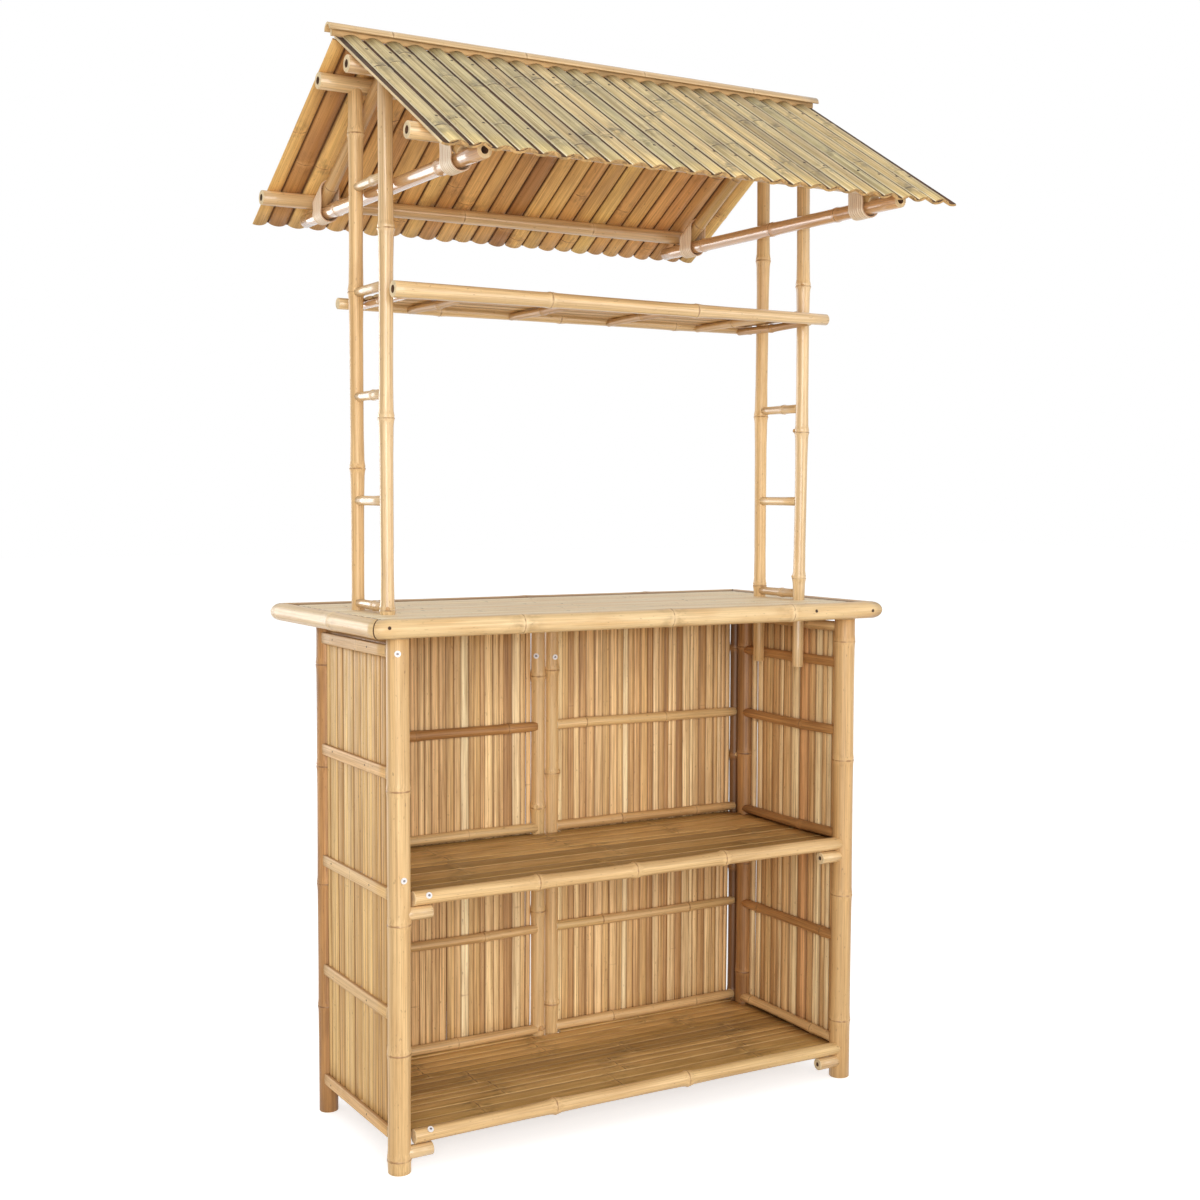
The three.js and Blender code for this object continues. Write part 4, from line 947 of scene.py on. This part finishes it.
def shelves():
    """Two shelves: a pole in front and strips on battens."""
    rng = draws(51)
    left_end, right_end = -PANEL_X - SHELF_LAP, PANEL_X + SHELF_LAP
    for level, (shares, slat, gap) in SHELVES.items():
        start, end = line_of(f"shelf_pole_{level}", 0)
        start[1] = end[1] = SHELF_POLE_Y
        pole(f"shelf_pole_{level}", start, end, SHELF_POLE_RADIUS, parted(shares, start, end), rng,
             rise=0.0027, slim=0.0010, tone=0.7)
        board = Piece()
        low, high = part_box(f"shelf_board_{level}")
        top = high[2]
        front = low[1] + SEAT
        edges = [FRONT_POST_Y + FRONT_POST_RADIUS + SEAT, REAR_POST_Y - REAR_POST_RADIUS - SEAT]
        field = widths(edges[1] - edges[0], slat, SHELF_SPREAD, rng)
        notched = PANEL_BACK - MIDDLE_POST_RADIUS - SEAT
        sizes = [edges[0] - front, *field, notched - edges[1], high[1] + SHELF_LAP - notched]
        for index, (y, width) in enumerate(lanes(front, sizes)):
            if index % SHELF_GROUP == 0:
                places = scatter(right_end - left_end, rng, 0.33)
                group_tone = rng.uniform()
            drop = rng.uniform(0.0, SHELF_UNEVENNESS)
            place = (y, top - SHELF_THICKNESS / 2 - drop)
            tone = np.clip(group_tone + rng.uniform(-0.35, 0.35), 0, 1)
            # How strong the painted highlight along this strip's rims is
            rims = rng.uniform(0.86, 1.0)
            size = (width - gap, SHELF_THICKNESS - 0.0009)
            for left, right in shelf_runs(left_end, right_end, y):
                nodes = [left_end + node + rng.uniform(-0.004, 0.004) - left for node in places]
                nodes = [node for node in nodes if 0.02 < node < right - left - 0.02]
                strip(board, (left, *place), (right, *place), UP, size, rng, "shelf", "split", nodes,
                      rise=0.0011, bow=0.0004, crown=0.36, power=5.0, tone=tone, rims=rims)
        height = top - SHELF_THICKNESS - SHELF_BATTEN[1] / 2
        reaches = (low[1] + SHELF_BATTEN_INSET, high[1] - SHELF_BATTEN_INSET)
        for x in SHELF_BATTEN_X:
            start, end = ((x, y, height) for y in reaches)
            strip(board, start, end, DOWN, SHELF_BATTEN, rng, "slat_out", "split", bow=0.0, power=6.0)
        board.make("slats", f"shelf_board_{level}")


# Ladder frames


def ladders():
    """Two poles on each side with rungs let in between them."""
    rng = draws(61)
    for side, _ in SIDES:
        for slope, _ in SLOPES:
            name = f"ladder_pole_{slope}_{side}"
            start, end = line_of(name, 2)
            piece = Piece()
            nodes = scatter(end[2] - start[2], rng, 0.34)
            culm(piece, start, end, (LADDER_BUTT, LADDER_TIP), nodes, rng, bow=0.0018, rise=0.0022,
                 slim=0.0014, tone=rng.uniform(0.2, 0.8), finish="pale" if slope == "front" else "straw")
            for node in nodes:
                turn = rng.uniform(0, 2 * math.pi)
                stub(piece, start + (0, 0, node), LADDER_BUTT, (math.cos(turn), math.sin(turn), 0.2), rng,
                     0.003, 0.0022)
            piece.make("bamboo", name)
        for step in range(1, RUNG_COUNT + 1):
            name = f"rung_{side}_{step}"
            start, end = line_of(name, 1)
            end[1] = LADDER_Y - RUNG_INSET
            start[1] = -end[1]
            radii = [RUNG_RADIUS * share for share in RUNG_TAPER]
            pole(name, start, end, radii, [0.05] if step % 2 else [], rng, sides=18, bow=0.0003,
                 finish="pale")


# Hanging shelf

# Place, radii of butt and tip, nodes as shares of the length, and whether the ends are bored
HANGING_POLES = (
    ("front", (0.0165, 0.0125), (0.327, 0.665), True),
    ("back", (0.012, 0.0105), (0.22, 0.5, 0.79), False),
)


def hanging_shelf():
    """Two long poles with a rack of strips on crosspieces."""
    rng = draws(71)
    for place, radii, shares, bored in HANGING_POLES:
        name = f"hanging_pole_{place}"
        start, end = line_of(name, 0)
        pole(name, start, end, radii, parted(shares, start, end), rng, bored=(bored, bored), bow=0.001,
             tone=0.5, finish="pale")
    rack = Piece()
    low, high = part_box("hanging_rack")
    sizes = widths(RACK_BACK - RACK_FRONT, RACK_SLAT, RACK_SPREAD, rng)
    for y, width in lanes(RACK_FRONT, sizes):
        place = (y, high[2] - RACK_DROP)
        size = (width - RACK_GAP, RACK_THICKNESS)
        strip(rack, (low[0], *place), (high[0], *place), UP, size, rng, "straw", "slat_out",
              scatter(high[0] - low[0], rng), bow=0.0012, crown=0.3)
    for x in CROSS_SPREADS:
        start, end = ((x, y, CROSS_HEIGHT) for y in (CROSS_FRONT, CROSS_BACK))
        culm(rack, start, end, CROSS_RADIUS, [0.12], rng, sides=18)
    rack.make("slats", "hanging_rack")
    for side, _ in SIDES:
        start, end = line_of(f"hanging_bearer_{side}", 1)
        start[1], end[1] = CROSS_FRONT, CROSS_BACK
        pole(f"hanging_bearer_{side}", start, end, CROSS_RADIUS, [0.14], rng, sides=18,
             finish="polished" if side == "left" else "straw")


# Roof

# Half width and its least share, rise, wall, and the finishes of the skin and the hollow
# The hollow sides are dark, under the caps and in the bore colour in the pans: painted shade.
CAP = (0.0189, 0.93, CAP_RISE, 0.0028, "roof", "hollow")
PAN = (0.0211, 0.97, 0.008, 0.0042, "under", "bore")


def on_slope(sign, across, down, lift):
    """A place on a slope: along the ridge, down from it, and lifted off the plane of the underside."""
    depth, height = down * ROOF_COS + lift * ROOF_SIN, RIDGE_HEIGHT - down * ROOF_SIN + lift * ROOF_COS
    return stacked(across, sign * depth, height)


def tile(piece, sign, across, up, rng, left=None, right=None):
    """A split culm down a slope, hollow side up or down; left and right are its reach where it is trimmed."""
    half, least, rise, wall, skin, hollow = CAP if up else PAN
    half = half * rng.uniform(least, 1.0)
    bound = 2 * math.atan(rise / half)
    radius = half / math.sin(bound)
    hand = -sign if up else sign
    reach = [half if side is None else side for side in (left, right)]
    if hand > 0:
        reach.reverse()
    outer = np.linspace(-math.asin(reach[0] / radius), math.asin(reach[1] / radius), ARC_POINTS)
    inner = outer[::-1]
    down_start = LATH_WIDTH / 2 + rng.uniform(0.0002, 0.002)
    length = SLOPE_LENGTH - rng.uniform(0, EAVE_STAGGER) - down_start
    along, swell, away = stations(length, scatter(length, rng, 0.29), 0.0009)
    bow = rng.uniform(-0.0008, 0.0008)
    turn = rng.uniform(-0.0016, 0.0016)
    share = along / length
    grown = radius * (1 + rng.uniform(-0.03, 0.02) * share)
    wide, tall = (
        np.concatenate([np.outer(grown + swell, wave(outer)), np.outer(grown - wall, wave(inner))], axis=1)
        for wave in (np.sin, np.cos)
    )
    tall -= grown[:, None] * math.cos(bound)
    lift = CAP_FOOT + tall if up else rise - tall
    wide = -hand * wide
    x = across + wide + (bow * np.sin(math.pi * share) + turn * (share - 0.5))[:, None]
    rings = on_slope(sign, x, down_start + along[:, None], lift)
    grain = grained(wide, lift, along[:, None], rng)
    edges = ["verge" if up or side < half else "split" for side in reach]
    finishes = [skin] * (ARC_POINTS - 1) + [edges[1]] + [hollow] * (ARC_POINTS - 1) + [edges[0]]
    # How near each point is to a rim: the roof's skin paints a highlight there, the underside paints shade
    rim = np.abs(np.concatenate([outer, inner])) / bound
    piece.sweep(rings, grain, finishes, ("split", "eave"), rng.uniform(), away, rim)


def roof():
    """Two slopes of split culms, nailed."""
    pitch = TILE_SPAN / (TILE_COUNT - 1)
    for slope, sign in SLOPES:
        rng = draws(81 + sign)
        piece = Piece()
        normal = (0, sign * ROOF_SIN, ROOF_COS)
        for index in range(TILE_COUNT):
            across = index * pitch - TILE_SPAN / 2
            left = VERGE_REACH if index == 0 else None
            right = VERGE_REACH if index == TILE_COUNT - 1 else None
            tile(piece, sign, across, False, rng, left, right)
            if index < TILE_COUNT - 1:
                middle = across + pitch / 2 + rng.uniform(-0.0004, 0.0004)
                tile(piece, sign, middle, True, rng)
                for down in NAIL_ROWS:
                    shift, drop = rng.uniform(-0.004, 0.004), rng.uniform(-0.008, 0.008)
                    place = on_slope(sign, middle + shift, down + drop, CAP_FOOT + CAP_RISE - 0.0004)
                    button(piece, place, normal, ROOF_NAIL, "nail", rng, sides=10)
        piece.make("tiles", f"roof_slope_{slope}")


def ridge():
    """The half culm over the ridge, with the lath that closes the hollows under it."""
    rng = draws(91)
    piece = Piece()
    start, end = line_of("ridge_cap", 0)
    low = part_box("ridge_cap")[0][2]
    length = end[0] - start[0]
    along, _, away = stations(length, RIDGE_NODES, 0.0)
    angle = np.linspace(0, math.pi, 15)
    y, z = (
        np.concatenate([RIDGE_OUTER * wave(angle), RIDGE_BORE * wave(angle[::-1])])
        for wave in (np.cos, np.sin)
    )
    rings = stacked(start[0] + along[:, None], y, low + z)
    finishes = ["pale"] * 14 + ["split"] * 16
    piece.sweep(rings, grained(y, z, along[:, None], rng), finishes, ("cut", "cut"), 0.2, away)
    foot, head = RIDGE_HEIGHT + LATH_LIFT, low + RIDGE_BORE * 0.8
    place = np.array((start[0] + LATH_WIDTH, 0, (foot + head) / 2))
    strip(piece, place, place + (length - 2 * LATH_WIDTH, 0, 0), UP, (LATH_WIDTH, head - foot), rng,
          "split", "split", bow=0.0, power=8.0)
    piece.make("bamboo", "ridge_cap")


def trusses():
    """Purlins, ties and rafters."""
    rng = draws(101)
    for level, (radius, reach, height) in PURLINS.items():
        for slope, sign in SLOPES:
            start, end = line_of(f"purlin_{level}_{slope}", 0)
            start[1:] = end[1:] = sign * reach, height
            pole(f"purlin_{level}_{slope}", start, end, radius, scatter(end[0] - start[0], rng, 0.31), rng,
                 "pale_culm", bored=(True, True), bow=0.0006, rise=0.0, finish="pale")
    for side, _ in SIDES:
        start, end = line_of(f"tie_{side}", 1)
        pole(f"tie_{side}", start, end, TIE_RADIUS, scatter(end[1] - start[1], rng, 0.25), rng,
             bored=(True, True), bow=0.0005, finish="polished")
        for slope, sign in SLOPES:
            name = f"rafter_{slope}_{side}"
            middle = line_of(name, 1)[0][0]
            head = (middle, sign * 0.0005, RAFTER_TOP)
            foot = (middle, sign * RAFTER_REACH, RAFTER_TOP - RAFTER_REACH * ROOF_TAN)
            pole(name, head, foot, RAFTER_RADIUS, [0.16, 0.33], rng, bow=0.0003, rise=0.0008)


# Lashings


def lashing(name, x, sign, rng):
    """Flat cane wound round the tie and the foot of the rafter in one strand."""
    tie_z = line_of("tie_left", 1)[0][2]
    wrap = TIE_RADIUS + RING_RISE + CANE_CLEARANCE + CANE_THICKNESS / 2
    crown = (RAFTER_RADIUS + CANE_CLEARANCE + CANE_THICKNESS / 2) / ROOF_COS
    arc = math.pi * wrap
    middles = []
    outs = []
    for step in range(CANE_LOOPS * CANE_STEPS + 1):
        turn = step / CANE_STEPS
        reach = LASHING_MIDDLE + (turn - CANE_LOOPS / 2) * CANE_PITCH
        top = RAFTER_TOP - reach * ROOF_TAN
        rise = top - tie_z
        around = 2 * (rise + arc)
        travelled = ((turn % 1) * around + rise / 2) % around
        past = travelled - rise - arc
        if travelled < rise or 0 <= past < rise:
            out, share = ((1, 0), travelled / rise) if travelled < rise else ((-1, 0), 1 - past / rise)
            point = (out[0] * (wrap - CANE_PINCH * math.sin(math.pi * share)), tie_z + rise * share)
        else:
            angle = (travelled - rise) / wrap if past < 0 else math.pi + (past - rise) / wrap
            out = (math.cos(angle), math.sin(angle))
            point = (wrap * out[0], top + crown * out[1] if past < 0 else tie_z + wrap * out[1])
        middles.append((x + point[0], sign * reach, point[1]))
        outs.append((out[0], 0, out[1]))
    middles = np.array(middles)
    outs = np.array(outs, float)
    tangents = np.gradient(middles, axis=0)
    tangents /= np.linalg.norm(tangents, axis=1)[:, None]
    outs -= tangents * (outs * tangents).sum(1)[:, None]
    outs /= np.linalg.norm(outs, axis=1)[:, None]
    flats = np.cross(outs, tangents)
    _, a, b = outline(CANE_POINTS, CANE_WIDTH / 2, CANE_THICKNESS / 2, 0.6, 0.8)
    rings = middles[:, None, :] + a[None, :, None] * flats[:, None, :] + b[None, :, None] * outs[:, None, :]
    travelled = np.concatenate([[0], np.cumsum(np.linalg.norm(np.diff(middles, axis=0), axis=1))])
    piece = Piece()
    piece.sweep(rings, grained(a, b, travelled[:, None], rng), "cane", ("cane", "cane"), rng.uniform(),
                edge=np.abs(a) / (CANE_WIDTH / 2))
    piece.make("cane", name)


def lashings():
    """The four lashings of the trusses."""
    rng = draws(111)
    for side, _ in SIDES:
        x = line_of(f"tie_{side}", 1)[0][0]
        for slope, sign in SLOPES:
            lashing(f"lashing_{slope}_{side}", x, sign, rng)


# Washers, screws and nails


def fasteners():
    """Washers with screws where the photograph shows them, and the nails of the counter's front pole."""
    rng = draws(121)
    piece = Piece()
    bolted = ((WASHER, "zinc"), (SCREW, "steel"))
    # Each nail head sits on a dark disc in the bore colour: painted shade of the nail's hole.
    nailed = ((PLUG, "bore"), (NAIL_HEAD, "nail"))
    post = (FRONT_POST_Y, FRONT_POST_RADIUS)
    middle_post = (PANEL_BACK, MIDDLE_POST_RADIUS)
    shelf_pole = (SHELF_POLE_Y, SHELF_POLE_RADIUS)
    edge = (EDGE_FRONT, EDGE_RADIUS)
    # Place across and up, how far that is from the culm's middle, the culm's depth and radius, and the pieces
    for (x, z), aside, above, (y, radius), fixings in (
        ((-0.5339, 0.9842), -0.0089, 0, post, bolted),
        ((-0.5237, 0.5609), 0.0013, 0, post, bolted),
        ((-0.0280, 0.9222), -0.01045, 0, middle_post, bolted),
        ((0.0172, 0.9179), -0.00035, 0, middle_post, bolted),
        ((-0.4712, 0.5268), 0, 0.0058, shelf_pole, bolted),
        ((-0.4674, 0.0765), 0, 0.0115, shelf_pole, bolted),
        ((-0.560, 1.0345), 0, 0.0035, edge, nailed),
        ((0.4126, 1.0342), 0, 0.0032, edge, nailed),
        ((0.5650, 1.0300), 0, -0.0010, edge, nailed),
    ):
        normal = (aside, -math.sqrt(radius**2 - aside**2 - above**2), above)
        for profile, finish in fixings:
            button(piece, (x, y + normal[1], z), normal, profile, finish, rng, sides=20)
    piece.make("washers_and_screws")


# Floor, lamps and camera

FLOOR_COLOUR = (0.82, 0.82, 0.82, 1)
FLOOR_WARMTH = (0.62, 0.55, 0.45, 1)  # what the floor throws back on the bamboo
FLOOR_GLOW = 0.60
FLOOR_HALF = 30.0
WHITE = (1, 1, 1, 1)
SKY = 0.62


def seen_rays(tree):
    """One for the rays that show the surroundings: to the camera, in a reflection or through glass."""
    rays = add(tree, "ShaderNodeLightPath").outputs
    seen = rays["Is Camera Ray"]
    for kind in ("Is Glossy Ray", "Is Transmission Ray"):
        seen = joined(tree, "MAXIMUM", seen, rays[kind])
    return seen


def stage():
    """Plain pale floor, white to the camera and with the object's shadow kept."""
    mesh = bpy.data.meshes.new("floor")
    corners = [(x * FLOOR_HALF, y * FLOOR_HALF, 0) for x, y in ((-1, -1), (1, -1), (1, 1), (-1, 1))]
    mesh.from_pydata(corners, [], [(0, 1, 2, 3)])
    floor = put("floor", mesh)
    material = bpy.data.materials.new("pale_floor")
    tree = emptied(material)
    diffuse = add(tree, "ShaderNodeBsdfDiffuse", {"Color": FLOOR_COLOUR})
    bounce = add(tree, "ShaderNodeBsdfDiffuse", {"Color": FLOOR_WARMTH})
    glow = add(tree, "ShaderNodeEmission", {"Color": WHITE, "Strength": FLOOR_GLOW})
    shown = add(tree, "ShaderNodeAddShader", {0: diffuse.outputs[0], 1: glow.outputs[0]})
    choice = add(tree, "ShaderNodeMixShader", {0: seen_rays(tree), 1: bounce.outputs[0], 2: shown.outputs[0]})
    add(tree, "ShaderNodeOutputMaterial", {"Surface": choice.outputs[0]})
    mesh.materials.append(material)


def lamp(name, place, target, size, power):
    """A soft square lamp that looks at a target."""
    data = bpy.data.lights.new(name, "AREA")
    data.shape = "SQUARE"
    data.size = size
    data.energy = power
    thing = put(name, data)
    thing.location = place
    back = unit(np.subtract(place, target))
    thing.rotation_euler = Matrix((*square_to(back), back)).transposed().to_euler()


def lights():
    """An even pale sky with a soft key from the front, a little fill and one from behind."""
    world = bpy.data.worlds.new("studio")
    bpy.context.scene.world = world
    tree = emptied(world)
    strength = add(tree, "ShaderNodeMapRange", {"Value": seen_rays(tree), "To Min": SKY, "To Max": 1.0})
    background = add(tree, "ShaderNodeBackground", {"Color": WHITE, "Strength": strength.outputs["Result"]})
    add(tree, "ShaderNodeOutputWorld", {"Surface": background.outputs[0]})
    lamp("key", (-2.4, -4.6, 1.6), (0, 0, 1.1), 3.0, 150)
    lamp("fill", (2.5, -4.5, 1.4), (0, 0, 1.0), 2.6, 50)
    lamp("back", (-2.3, 5.0, 1.4), (0, 0, 1.4), 2.6, 80)


def camera():
    """The photograph's own view."""
    data = bpy.data.cameras.new("camera")
    data.sensor_width = SENSOR
    data.lens = CAMERA_LENS
    thing = put("camera", data)
    stand = Matrix.Translation(CAMERA_PLACE)
    for angle, axis in ((-CAMERA_YAW, "Z"), (math.pi / 2 - CAMERA_PITCH, "X"), (CAMERA_ROLL, "Z")):
        stand = stand @ Matrix.Rotation(angle, 4, axis)
    thing.matrix_world = stand
    bpy.context.scene.camera = thing


posts()
panels()
counter()
shelves()
ladders()
hanging_shelf()
roof()
ridge()
trusses()
lashings()
fasteners()
stage()
lights()
camera()
bpy.context.scene.view_settings.view_transform = "Standard"
